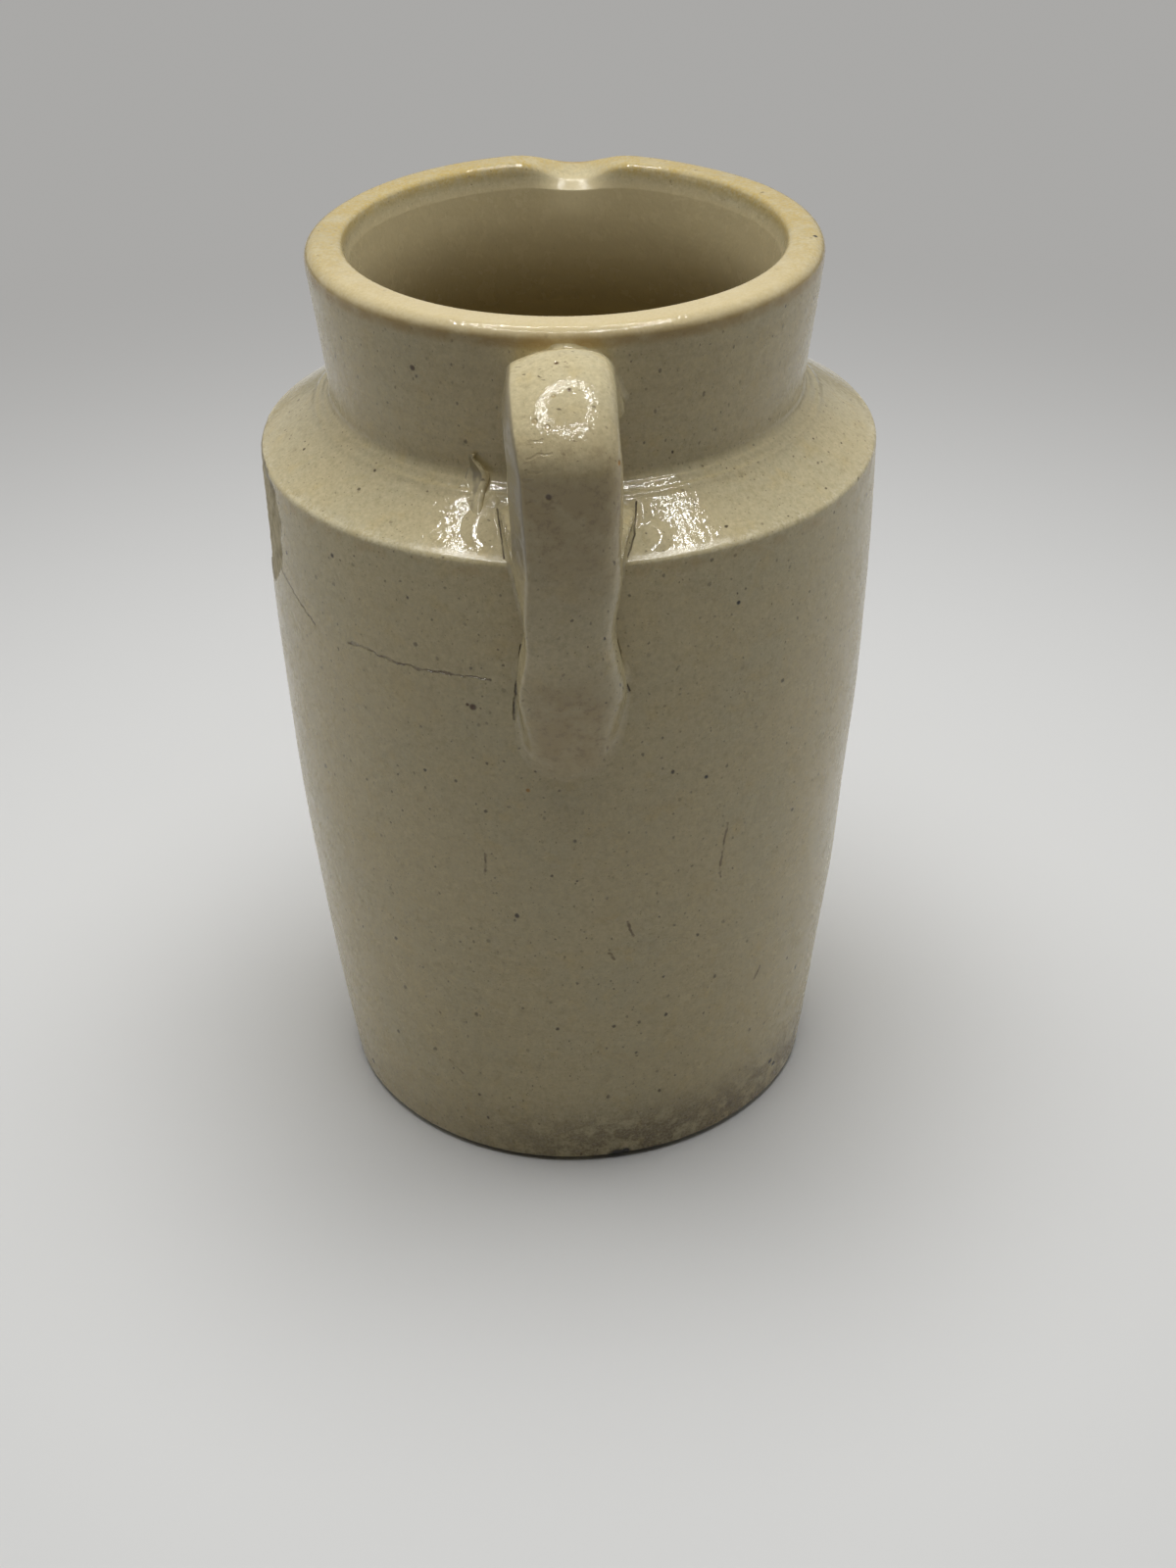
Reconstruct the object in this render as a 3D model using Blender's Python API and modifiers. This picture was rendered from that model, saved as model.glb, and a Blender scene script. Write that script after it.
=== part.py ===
"""Stoneware cream jug: a thrown pot with a luted strap handle, standing on its flat base at the origin."""

import math

import bpy
from mathutils import Matrix, Vector

MM = 0.001

# Thrown body, outside
HEIGHT = 95.1 * MM
RIM_RADIUS = 25.3 * MM
RIM_WIDTH = 3.7 * MM
RIM_ROUND = 1.3 * MM
NECK_RADIUS = 23.5 * MM
NECK_HEIGHT = 15.4 * MM
NECK_FILLET = 1.4 * MM
SHOULDER_RADIUS = 31.0 * MM
SHOULDER_DROP = 4.9 * MM
SHOULDER_ROUND = 0.7 * MM
WALL_BOW = 1.5 * MM
BASE_RADIUS = 25.5 * MM
BASE_ROUND = 1.1 * MM

# Thrown body, inside
WALL = 4.2 * MM
NECK_WALL = 3.5 * MM
MOUTH_ROUND = 0.8 * MM
FLOOR = 5.2 * MM
FLOOR_ROUND = 5.0 * MM

# Pinched lip on the far side
LIP_REACH = 8.0 * MM
LIP_PULL = 1.6 * MM
LIP_DIP = 1.7 * MM
LIP_TURN = math.radians(3.4)

# Strap handle
STRAP_WIDTH = 10.4 * MM
STRAP_FACE = 8.8 * MM
STRAP_SKEW = 0.7 * MM
STRAP_THICKNESS = 4.6 * MM
STRAP_CROWN = 0.9 * MM
STRAP_BEND = 10.0 * MM
STRAP_STANDOFF = 7.9 * MM
CREST_BELOW_RIM = 1.4 * MM
TERMINAL_DROP = 21.5 * MM
TERMINAL_TAPER = 6.0 * MM
TERMINAL_PROUD = 1.2 * MM
ROOT_FLARE = 1.2
TERMINAL_FLARE = 1.18

# Luting slip
CLEARANCE = 0.3 * MM
SLIP_THICKNESS = 0.5 * MM
SLIP_BORDER = 1.5 * MM
BURR_LENGTH = 4.6 * MM
BURR_RADIUS = 0.7 * MM
BURR_ANGLE = math.radians(22.0)

# Facets
TURN_STEPS = 64
CORNER_STEPS = 3
WALL_STEPS = 6
PATH_STEPS = 4

# Heights and radii that follow from these
NECK_FOOT = HEIGHT - NECK_HEIGHT
SHOULDER_EDGE = NECK_FOOT - SHOULDER_DROP
MOUTH_RADIUS = RIM_RADIUS - RIM_WIDTH
CREST = HEIGHT - CREST_BELOW_RIM
END_GAP = CLEARANCE + SLIP_THICKNESS + CLEARANCE


def clear_scene():
    for obj in list(bpy.data.objects):
        bpy.data.objects.remove(obj, do_unlink=True)


def collection_named(name):
    found = bpy.data.collections.new(name)
    bpy.context.scene.collection.children.link(found)
    return found


def glaze(name, colour, roughness):
    material = bpy.data.materials.new(name)
    material.use_nodes = True
    shader = material.node_tree.nodes["Principled BSDF"]
    shader.inputs["Base Color"].default_value = colour
    shader.inputs["Roughness"].default_value = roughness
    return material


def rounded(before, corner, after, radius, steps):
    """Points of an arc of this radius, tangent to both sides of a corner."""
    into = (Vector(before) - Vector(corner)).normalized()
    out = (Vector(after) - Vector(corner)).normalized()
    half = into.angle(out) / 2
    reach = radius / math.tan(half)
    middle = Vector(corner) + (into + out).normalized() * (radius / math.sin(half))
    first = (Vector(corner) + into * reach - middle).normalized()
    last = (Vector(corner) + out * reach - middle).normalized()
    points = []
    for step in range(steps + 1):
        points.append(tuple(middle + first.slerp(last, step / steps) * radius))
    return points


def moved_out(before, corner, after, grow):
    """The corner after both of its sides, run down the outside, moved outwards."""
    into = (Vector(corner) - Vector(before)).normalized()
    out = (Vector(after) - Vector(corner)).normalized()
    first = Vector((-into.y, into.x))
    last = Vector((-out.y, out.x))
    return tuple(Vector(corner) + (first + last) * (grow / (1 + first.dot(last))))


def wall_radius(height):
    """Outer radius of the belly at this height, bowed between base and shoulder."""
    part = height / SHOULDER_EDGE
    straight = BASE_RADIUS + (SHOULDER_RADIUS - BASE_RADIUS) * part
    return straight + 4 * WALL_BOW * part * (1 - part)


def neck_radius(height):
    """Outer radius of the flared neck at this height."""
    part = (height - NECK_FOOT) / NECK_HEIGHT
    return NECK_RADIUS + (RIM_RADIUS - NECK_RADIUS) * part


def shoulder_height(radius):
    """Height of the sloping shoulder at this distance from the axis."""
    part = (radius - NECK_RADIUS) / (SHOULDER_RADIUS - NECK_RADIUS)
    return NECK_FOOT - SHOULDER_DROP * part


def wall_points(inset, low, high):
    """Belly wall from the top to the bottom, moved inwards by the inset."""
    points = []
    for step in range(WALL_STEPS + 1):
        height = high + (low - high) * step / WALL_STEPS
        points.append((wall_radius(height) - inset, height))
    return points


def outside(grow):
    """Outer side from the rim to the base, larger by this much all round."""
    rim = (RIM_RADIUS, HEIGHT)
    foot = (NECK_RADIUS, NECK_FOOT)
    edge = (SHOULDER_RADIUS, SHOULDER_EDGE)
    below = (wall_radius(SHOULDER_EDGE * 0.97), SHOULDER_EDGE * 0.97)
    big_rim = moved_out((0.0, HEIGHT), rim, foot, grow)
    big_foot = moved_out(rim, foot, edge, grow)
    big_edge = moved_out(foot, edge, below, grow)
    big_below = (below[0] + grow, below[1])
    fillet = max(NECK_FILLET - grow, NECK_FILLET * 0.02)
    top = (0.0, HEIGHT + grow)
    points = rounded(top, big_rim, big_foot, RIM_ROUND + grow, CORNER_STEPS)
    points += rounded(big_rim, big_foot, big_edge, fillet, CORNER_STEPS)
    points += rounded(big_foot, big_edge, big_below, SHOULDER_ROUND + grow, CORNER_STEPS - 1)
    points += wall_points(-grow, SHOULDER_EDGE * 0.06, SHOULDER_EDGE * 0.96)
    return points


def body_profile():
    """Half section from the inner floor, up the inside, over the rim and down to the base."""
    inner_foot = NECK_RADIUS - NECK_WALL
    inner_edge = SHOULDER_EDGE - WALL / 2
    inner_wall = wall_radius(inner_edge) - WALL
    slope = SHOULDER_DROP / (SHOULDER_RADIUS - NECK_RADIUS)
    inner_neck = (inner_foot, inner_edge + (inner_wall - inner_foot) * slope)
    inner_corner = (inner_wall, inner_edge)
    floor_edge = (wall_radius(FLOOR) - WALL, FLOOR)
    low_wall = (wall_radius(FLOOR + FLOOR_ROUND) - WALL, FLOOR + FLOOR_ROUND)
    mouth = (MOUTH_RADIUS, HEIGHT)
    base = (BASE_RADIUS, 0.0)
    near_base = (wall_radius(BASE_ROUND * 3), BASE_ROUND * 3)
    inside = wall_points(WALL, FLOOR + FLOOR_ROUND * 1.4, inner_edge * 0.95)
    points = [(0.0, FLOOR), (floor_edge[0] / 2, FLOOR)]
    points += rounded((0.0, FLOOR), floor_edge, low_wall, FLOOR_ROUND, CORNER_STEPS + 1)
    points += reversed(inside)
    points += rounded(inside[0], inner_corner, inner_neck, WALL / 2, CORNER_STEPS)
    points += rounded(inner_corner, inner_neck, mouth, NECK_WALL, CORNER_STEPS)
    points += rounded(inner_neck, mouth, (RIM_RADIUS, HEIGHT), MOUTH_ROUND, CORNER_STEPS - 1)
    points += outside(0.0)
    points += rounded(near_base, base, (0.0, 0.0), BASE_ROUND, CORNER_STEPS - 1)
    points += [(BASE_RADIUS / 2, 0.0), (0.0, 0.0)]
    return points


def room_profile(grow):
    """The pot without its hollow, larger by this much all round."""
    points = [(0.0, HEIGHT + grow)]
    points += outside(grow)
    points += [(BASE_RADIUS + grow, 0.0), (0.0, 0.0)]
    return points


def turned(name, profile, home):
    """Solid of revolution about Z from a half section."""
    mesh = bpy.data.meshes.new(name)
    vertices = [(radius, 0.0, height) for radius, height in profile]
    edges = [(index, index + 1) for index in range(len(vertices) - 1)]
    mesh.from_pydata(vertices, edges, [])
    obj = bpy.data.objects.new(name, mesh)
    home.objects.link(obj)
    screw = obj.modifiers.new("turn", "SCREW")
    screw.axis = "Z"
    screw.angle = math.tau
    screw.steps = TURN_STEPS
    screw.render_steps = TURN_STEPS
    screw.use_merge_vertices = True
    screw.merge_threshold = 0.00001
    screw.use_smooth_shade = True
    return obj


def as_mesh(obj, home):
    """Replaces an object by its evaluated mesh, with doubles merged."""
    name = obj.name
    bpy.context.view_layer.update()
    graph = bpy.context.evaluated_depsgraph_get()
    mesh = bpy.data.meshes.new_from_object(obj.evaluated_get(graph), depsgraph=graph)
    mesh.transform(obj.matrix_world)
    bpy.data.objects.remove(obj, do_unlink=True)
    solid = bpy.data.objects.new(name, mesh)
    home.objects.link(solid)
    weld = solid.modifiers.new("weld", "WELD")
    weld.merge_threshold = 0.000002
    return solid


def cut(obj, cutter):
    modifier = obj.modifiers.new("clear of " + cutter.name, "BOOLEAN")
    modifier.operation = "DIFFERENCE"
    modifier.solver = "EXACT"
    modifier.object = cutter


def as_cutter(obj):
    obj.hide_render = True
    obj.display_type = "WIRE"
    return obj


def finish(obj, material):
    for face in obj.data.polygons:
        face.use_smooth = True
    obj.data.materials.clear()
    obj.data.materials.append(material)


def strap_path():
    """Centre line of the strap in its own plane, as distance from the axis and height."""
    half = STRAP_THICKNESS / 2
    outermost = SHOULDER_RADIUS + STRAP_STANDOFF - half
    middle = (outermost + half - STRAP_BEND, CREST - STRAP_BEND)
    sweep = STRAP_BEND - half
    end = SHOULDER_EDGE - TERMINAL_DROP
    knee = end + TERMINAL_TAPER
    inward = outermost + half - wall_radius(knee) - END_GAP - TERMINAL_PROUD
    start = math.radians(128.0)
    rise = middle[1] + sweep * math.sin(start)
    points = [(neck_radius(rise) - STRAP_THICKNESS, rise - half)]
    for step in range(2 * PATH_STEPS + 1):
        turn = start * (1 - step / (2 * PATH_STEPS))
        points.append((middle[0] + sweep * math.cos(turn), middle[1] + sweep * math.sin(turn)))
    for step in range(1, 2 * PATH_STEPS + 1):
        part = step / (2 * PATH_STEPS)
        ease = part * part * (3 - 2 * part)
        points.append((outermost - inward * ease, middle[1] + (knee - middle[1]) * part))
    points.append((wall_radius(end) + END_GAP - half, end))
    points.append((wall_radius(end) - half, end - STRAP_THICKNESS))
    return points


def strap_section(grow):
    """Outline of the strap across its run: a crowned outer face on a wider inner one."""
    half = STRAP_THICKNESS / 2 + grow
    wide = STRAP_WIDTH / 2 + grow
    face = STRAP_FACE / 2 + grow
    outline = []
    for step in range(7):
        part = step / 3 - 1
        outline.append((face * part - STRAP_SKEW, half - STRAP_CROWN * part * part))
    outline += [(wide, -half * 0.3), (wide * 0.93, -half * 0.85)]
    outline += [(wide * 0.5, -half), (-wide * 0.5, -half)]
    outline += [(-wide * 0.93, -half * 0.85), (-wide, -half * 0.3)]
    return outline


def strap(name, grow, gap, home):
    """The swept strap, larger by one amount and cut short of the pot by another."""
    outline = bpy.data.curves.new(name + "_section", "CURVE")
    outline.dimensions = "2D"
    ring = outline.splines.new("POLY")
    section = strap_section(grow)
    ring.points.add(len(section) - 1)
    for point, (across, out) in zip(ring.points, section):
        point.co = (across, out, 0.0, 1.0)
    ring.use_cyclic_u = True
    guide = bpy.data.objects.new(outline.name, outline)
    home.objects.link(guide)
    line = bpy.data.curves.new(name, "CURVE")
    line.dimensions = "3D"
    line.twist_mode = "MINIMUM"
    line.bevel_mode = "OBJECT"
    line.bevel_object = guide
    line.use_fill_caps = True
    run = line.splines.new("POLY")
    path = strap_path()
    run.points.add(len(path) - 1)
    for index, (point, (radius, height)) in enumerate(zip(run.points, path)):
        along = index / (len(path) - 1)
        root = max(0.0, 1 - along * 5) ** 2
        terminal = max(0.0, along * 3 - 2)
        point.co = (0.0, -radius, height, 1.0)
        point.radius = 1 + (ROOT_FLARE - 1) * root + (TERMINAL_FLARE - 1) * terminal
    sweep = bpy.data.objects.new(name, line)
    home.objects.link(sweep)
    solid = as_mesh(sweep, home)
    bpy.data.objects.remove(guide, do_unlink=True)
    cut(solid, as_cutter(turned(name + "_room", room_profile(gap), cutters)))
    return solid


def pad(name, middle, size, material):
    """Lump of slip around a joint, cleared from the pot and from the strap."""
    bpy.ops.mesh.primitive_uv_sphere_add(segments=24, ring_count=14, radius=1.0)
    lump = bpy.context.object
    lump.name = name
    lump.data.name = name
    for home in list(lump.users_collection):
        home.objects.unlink(lump)
    jug.objects.link(lump)
    place = Matrix.Translation((0.0, -middle[0], middle[1])) @ Matrix.Diagonal((*size, 1.0))
    lump.data.transform(place)
    cut(lump, pot_room)
    cut(lump, strap_room)
    finish(lump, material)
    return lump


def burr(name, material):
    """Torn curl of slip lying in the corner between neck and shoulder."""
    line = bpy.data.curves.new(name, "CURVE")
    line.dimensions = "3D"
    line.bevel_depth = BURR_RADIUS
    line.bevel_resolution = 2
    line.use_fill_caps = True
    run = line.splines.new("POLY")
    widths = (0.45, 0.85, 1.0, 1.05, 0.9, 0.5)
    run.points.add(len(widths) - 1)
    proud = CLEARANCE + BURR_RADIUS * 0.55
    low = NECK_RADIUS + BURR_LENGTH * 0.55
    bottom = Vector((low, shoulder_height(low) + proud))
    high = NECK_FOOT + BURR_LENGTH * 0.55
    top = Vector((neck_radius(high) + proud, high))
    corner = Vector((NECK_RADIUS + proud, NECK_FOOT + proud))
    for index, (point, width) in enumerate(zip(run.points, widths)):
        part = index / (len(widths) - 1)
        spot = top * (1 - part) ** 2 + corner * (2 * part * (1 - part)) + bottom * part * part
        turn = BURR_ANGLE - math.radians(2.5) * part
        point.co = (-spot.x * math.sin(turn), -spot.x * math.cos(turn), spot.y, 1.0)
        point.radius = width
    tube = bpy.data.objects.new(name, line)
    jug.objects.link(tube)
    solid = as_mesh(tube, jug)
    cut(solid, pot_room)
    finish(solid, material)
    return solid


clear_scene()
jug = collection_named("stoneware_cream_jug")
cutters = collection_named("cutters")
cream_glaze = glaze("cream_glaze", (0.60, 0.51, 0.31, 1.0), 0.18)
strap_glaze = glaze("strap_glaze", (0.60, 0.51, 0.32, 1.0), 0.2)
neck_slip = glaze("neck_slip", (0.52, 0.43, 0.26, 1.0), 0.35)
shoulder_slip = glaze("shoulder_slip", (0.55, 0.46, 0.28, 1.0), 0.3)
terminal_slip = glaze("terminal_slip", (0.56, 0.47, 0.29, 1.0), 0.3)
burr_slip = glaze("burr_slip", (0.62, 0.53, 0.35, 1.0), 0.4)

# Body, with its lip pulled out and down
pot = as_mesh(turned("thrown_body", body_profile(), jug), jug)
lip = Vector((math.sin(LIP_TURN), math.cos(LIP_TURN), 0.0))
grip = bpy.data.objects.new("lip_grip", None)
pulled = bpy.data.objects.new("lip_pulled", None)
cutters.objects.link(grip)
cutters.objects.link(pulled)
grip.location = lip * (RIM_RADIUS - RIM_WIDTH / 2) + Vector((0.0, 0.0, HEIGHT))
pulled.location = grip.location + lip * LIP_PULL - Vector((0.0, 0.0, LIP_DIP))
warp = pot.modifiers.new("pinched lip", "WARP")
warp.object_from = grip
warp.object_to = pulled
warp.falloff_type = "SMOOTH"
warp.falloff_radius = LIP_REACH
finish(pot, cream_glaze)

# Strap handle, and the room that the slip leaves for it and for the pot
handle = strap("strap_handle", 0.0, END_GAP, jug)
finish(handle, strap_glaze)
pot_room = as_cutter(turned("pot_room", room_profile(CLEARANCE), cutters))
strap_room = as_cutter(strap("strap_room", CLEARANCE, CLEARANCE + SLIP_THICKNESS, cutters))

# Slip at the neck, on the shoulder and under the lower end
root_height = CREST - STRAP_THICKNESS * 1.1
root_wide = STRAP_WIDTH / 2 * ROOT_FLARE + SLIP_BORDER
root_deep = SLIP_BORDER * 2.8
root_middle = (neck_radius(root_height) - SLIP_BORDER * 1.7, root_height)
pad("neck_luting_slip", root_middle, (root_wide, root_deep, STRAP_THICKNESS), neck_slip)
edge_wide = STRAP_WIDTH / 2 + SLIP_BORDER
edge_middle = (SHOULDER_RADIUS - CLEARANCE, SHOULDER_EDGE + SLIP_BORDER * 1.1)
pad("shoulder_luting_slip", edge_middle, (edge_wide, STRAP_STANDOFF / 2, SLIP_BORDER * 2), shoulder_slip)
end_height = SHOULDER_EDGE - TERMINAL_DROP * 0.65
end_wide = STRAP_WIDTH / 2 * TERMINAL_FLARE + SLIP_BORDER * 0.7
end_deep = SLIP_BORDER * 2.6
end_middle = (wall_radius(end_height) - SLIP_BORDER * 1.7, end_height)
pad("terminal_luting_slip", end_middle, (end_wide, end_deep, TERMINAL_DROP * 0.42), terminal_slip)
burr("slip_burr", burr_slip)
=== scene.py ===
"""Stoneware cream jug: a thrown pot, its strap handle, luting slip and a burr, dressed around the frame."""

import math

import bpy
from mathutils import Matrix, Vector, geometry, noise


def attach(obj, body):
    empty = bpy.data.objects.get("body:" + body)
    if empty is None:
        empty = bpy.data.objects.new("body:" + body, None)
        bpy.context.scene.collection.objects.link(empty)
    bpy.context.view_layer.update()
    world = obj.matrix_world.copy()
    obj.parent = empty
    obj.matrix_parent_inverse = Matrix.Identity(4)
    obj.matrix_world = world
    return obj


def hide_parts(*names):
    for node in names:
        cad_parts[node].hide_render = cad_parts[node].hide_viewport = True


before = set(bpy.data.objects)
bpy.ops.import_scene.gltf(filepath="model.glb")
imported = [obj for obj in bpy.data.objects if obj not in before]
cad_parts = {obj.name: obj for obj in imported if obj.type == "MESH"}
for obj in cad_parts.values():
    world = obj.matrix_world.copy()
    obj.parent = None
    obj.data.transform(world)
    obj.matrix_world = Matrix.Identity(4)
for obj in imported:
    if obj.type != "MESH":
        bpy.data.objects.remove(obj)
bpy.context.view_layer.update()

MM = 0.001

# Sizes of the pot, as in the frame
HEIGHT = 95.1 * MM
RIM_RADIUS = 25.3 * MM
RIM_WIDTH = 3.7 * MM
RIM_ROUND = 1.3 * MM
NECK_RADIUS = 23.5 * MM
NECK_FOOT = 79.7 * MM
NECK_FILLET = 1.4 * MM
SHOULDER_RADIUS = 31.0 * MM
SHOULDER_EDGE = 74.8 * MM
SHOULDER_ROUND = 0.7 * MM
WALL_BOW = 1.3 * MM
BASE_RADIUS = 25.5 * MM
BASE_ROUND = 0.35 * MM
FOOT_RADIUS = 23.8 * MM
FOOT_RISE = 0.6 * MM
WALL = 4.2 * MM
THROAT_RADIUS = 20.3 * MM
THROAT_HEIGHT = 87.2 * MM
THROAT_FOOT = 21.9 * MM
MOUTH_ROUND = 0.7 * MM
MOUTH_COVE = 2.4 * MM
MOUTH_PINCH = 0.55 * MM
FLOOR = 5.2 * MM
FLOOR_ROUND = 5.0 * MM
COVE_ROUND = 1.5 * MM
THROAT_ROUND = 22.0 * MM
THROAT_FOOT_ROUND = 3.5 * MM

# How the pot's section is cut into rings: shares of the wall's height, steps and spacing
BELOW_EDGE = 0.97
LOW_WALL = 3.0 * MM
WALL_FIRST = 0.05
WALL_SPAN = 0.91
WALL_STEPS = 23
INNER_BELOW = 0.95
INNER_LOW = 2.4
INNER_STEPS = 13
OUTER_SPACING = 2.4 * MM
INNER_SPACING = 3.0 * MM
POT_SEGMENTS = 96
FLOOR_RING = 5.0 * MM

# Fine ridges of the turning rib at the neck's foot, as radius and rise
TURNED_RIDGES = ((25.15 * MM, 0.20 * MM), (24.25 * MM, 0.14 * MM))
TURNED_SPREAD = 0.22 * MM
TURNED_WIDTH = 2.6 * MM
TURNED_SPACING = 0.28 * MM
TURNED_MARGIN = 2.0 * MM

# Unevenness of the clay: size of its cloud and how far it pushes
THROWN_WAVE = (16.0 * MM, 0.35 * MM)
STRAP_WAVE = (5.0 * MM, 0.2 * MM)
BURR_WAVE = (0.7 * MM, 0.1 * MM)

# The pouring lip, at the far side from the handle
LIP_TURN = math.radians(2.2)
LIP_PULL = 0.6 * MM
LIP_DIP = 1.0 * MM
LIP_REACH = 5.6 * MM
LIP_DEPTH = 6.0 * MM
THUMB_DIP = 1.05 * MM
THUMB_REACH = 4.8 * MM
THUMB_STEP = 1.1 * MM
THUMB_DEPTH = 4.0 * MM

# The flake lost from the shoulder's edge: its middle in degrees from the handle, its spread and its depth
CHIP_TURN = -84.0
CHIP_SPREAD = 20.0
CHIP_HEIGHT = 69.4 * MM
CHIP_TALL = 8.0 * MM
CHIP_EDGE = 0.12
CHIP_DEEP = 0.22 * MM
CHIP_TOP = SHOULDER_EDGE + 0.4 * MM
CHIP_TOP_RUN = 0.8 * MM
CHIP_REACH = 1.4
CHIP_SHELL = SHOULDER_RADIUS - 2 * MM
CHIP_RAG = ((0.13, 450), (0.07, 1300))
CHIP_GRAIN = ((1.0, 900), (0.5, 2500))
CHIP_GRAIN_DEEP = 0.1 * MM
CHIP_INWARD = 0.9
CHIP_DOWN = Vector((0, 0, 0.3))

# The strap: its crest and bends, its section and how its width runs down the path
STRAP_CREST = (28.2 * MM, 94.35 * MM)
BEND_BACK = 3.7 * MM
BEND_TOP = 12.4 * MM
BEND_FRONT = 5.0 * MM
BACK_TURN = math.radians(140)
FRONT_TURN = math.radians(40)
ROOT_RUN = 5.0 * MM
STRAP_THICKNESS = 4.6 * MM
CROWN_RADIUS = 12.0 * MM
CROWN_PARTS = (0.45, 0.3, 0.15, 0.0, -0.15, -0.3, -0.4)
BACK_ROUNDS = (0.9 * MM, 1.1 * MM)
ROOT_FLARE = 0.1
STRAP_OFFSET = ((93 * MM, -0.7 * MM), (86 * MM, -0.4 * MM), (80 * MM, -0.35 * MM), (69 * MM, 0.05 * MM))
CROWN_SHIFT = ((93 * MM, 1.0 * MM), (86 * MM, 0.9 * MM), (76 * MM, 0.0))
RIDGE_ROUND = ((93 * MM, 1.3 * MM), (86 * MM, 0.4 * MM))
EDGE_ROUND = ((93 * MM, 2.1 * MM), (86 * MM, 2.9 * MM))
FULL_WIDTH = 8.5 * MM
STRAP_SLANT = ((93 * MM, 0.7 * MM), (85 * MM, 1.9 * MM), (78 * MM, 2.0 * MM), (70 * MM, 0.4 * MM))
STRAP_WIDTHS = (
    (93 * MM, 10.3 * MM),
    (85 * MM, 10.6 * MM),
    (77 * MM, 10.4 * MM),
    (69.5 * MM, 8.5 * MM),
    (62.0 * MM, 10.4 * MM),
    (57.0 * MM, 9.4 * MM),
    (51.5 * MM, 6.0 * MM),
)
STRAP_RUN = 84
STRAP_ROUND = 72
# The strap's fall: its knee and tip, and how the curve leaves and meets them
STRAP_KNEE = Vector((32.3 * MM, 62.5 * MM))
STRAP_TIP = Vector((27.4 * MM, 50.8 * MM))
BEND_LEAVE = Vector((0, 10 * MM))
KNEE_MEET = Vector((1.7 * MM, 6.0 * MM))
KNEE_LEAVE = Vector((0.95 * MM, 3.3 * MM))
TIP_MEET = Vector((0.9 * MM, 2.4 * MM))

# Luting slip: how finely the clay runs together, how often it is smoothed and how deep its skin lies
CLAY_BOX = ((-14, -40, 46), (14, -14, 94.2))
CLAY_GRAIN = 0.3 * MM
RUB_FACTOR = 0.5
SEAM = 0.001 * MM
SKIN_DEPTH = 0.05 * MM
MELT = 8
RUB = 60
POOL = 0.12
WEDGE_RUB = 0.7
WEDGE_ASIDE = 8.0 * MM
WEDGE_FRONT = -36.5 * MM
WEDGE_BACK = -26.0 * MM
WEDGE_LOW = 76.5 * MM
WEDGE_RISE = 2.0 * MM
SMEAR_HEIGHT = 62.0 * MM
SMEAR_RUN = 4.0 * MM
SMEAR_COVER = 0.7 * MM
ROOT_REACH = 25.6 * MM
FRONT_SIDE = -24.0 * MM
PROUD_SIDE = -31.2 * MM
CRACK_INNER = 3.8 * MM
CRACK_OUTER = 7.2 * MM
CRACK_LOW = 57.5 * MM
CRACK_WIDE = 0.35 * MM
CRACK_DEEP = 0.22 * MM

# The wad between strap and shoulder: middle, sizes and fall in millimetres, how it narrows, where it ends
WAD_MIDDLE = (0.0, -30.0, 73.0)
WAD_SIZE = (13.0, 8.0, 13.4)
WAD_FRONT = 0.84
WAD_FOOT = 0.55
WAD_FALL = 1.4
WAD_FOOT_HEIGHT = 70.0 * MM
# Pads of slip pressed out beside the strap: place, half sizes of the lens and how much of it stands out
PAD_LEAN = 0.6
PAD_SOFT = 14
PAD_BORDER = 1.1
PAD_FADE = 0.5
SLIP_PADS = (
    ((-7.2, -27.15, 76.6), (3.3, 4.17, 1.5), 0.28),
    ((7.6, -27.85, 76.1), (2.68, 3.2, 1.5), 0.2),
    ((6.35, -25.9, 77.6), (2.0, 3.6, 1.5), 0.18),
    ((-6.7, -24.6, 78.45), (1.6, 1.8, 1.5), 0.16),
)
# The burr from foot to tip, in millimetres: the crest of its free edge, where it fairs out, its depth
BURR_LINE = (
    ((-8.05, -26.2, 77.3), (-9.3, -25.9, 77.1), 0.7),
    ((-8.06, -25.0, 78.35), (-10.0, -24.6, 77.65), 1.2),
    ((-7.8, -24.0, 79.2), (-9.9, -23.3, 78.35), 1.4),
    ((-7.5, -23.35, 80.05), (-9.6, -22.1, 79.5), 1.4),
    ((-7.75, -23.15, 80.6), (-9.4, -21.65, 80.3), 1.3),
    ((-8.2, -22.95, 81.05), (-9.2, -21.75, 80.95), 1.2),
    ((-8.5, -22.8, 81.4), (-9.1, -21.9, 81.3), 1.0),
    ((-8.72, -22.7, 81.75), (-9.05, -22.05, 81.65), 0.7),
    ((-8.6, -22.75, 82.05), (-8.95, -22.25, 81.95), 0.5),
    ((-8.35, -22.85, 82.2), (-8.6, -22.55, 82.15), 0.3),
)
BURR_INWARD = (0.32, 0.9, -0.3)
BURR_RIGHT = (0.95, -0.3, 0.0)
# Its section: how far up the slope and how hollow there, then to the right and inward in depths
BURR_SUNK = 0.12
BURR_SLOPE = ((0.0, 0.0), (0.45, 0.05), (0.8, -0.04))
BURR_DROP = ((0.0, -0.12), (0.2, 0.08), (0.2, 0.4), (0.0, 1.0))
BURR_BURIED = 0.6
BURR_ROUND = 32
BURR_RUN = 36
SLIP_BOXES = (
    ("neck_luting_slip_glazed", (-9.5, -30.0, 84.0), (9.5, -22.0, 94.0)),
    ("shoulder_luting_slip_glazed", (-11.0, -35.0, 68.0), (11.0, -23.4, 81.5)),
    ("terminal_luting_slip_glazed", (-9.0, -38.5, 48.5), (9.0, -27.0, 68.0)),
)


def deselect():
    if bpy.context.mode != "OBJECT":
        bpy.ops.object.mode_set(mode="OBJECT")
    bpy.ops.object.select_all(action="DESELECT")


def take(obj):
    deselect()
    bpy.context.view_layer.objects.active = obj
    obj.select_set(True)


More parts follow.
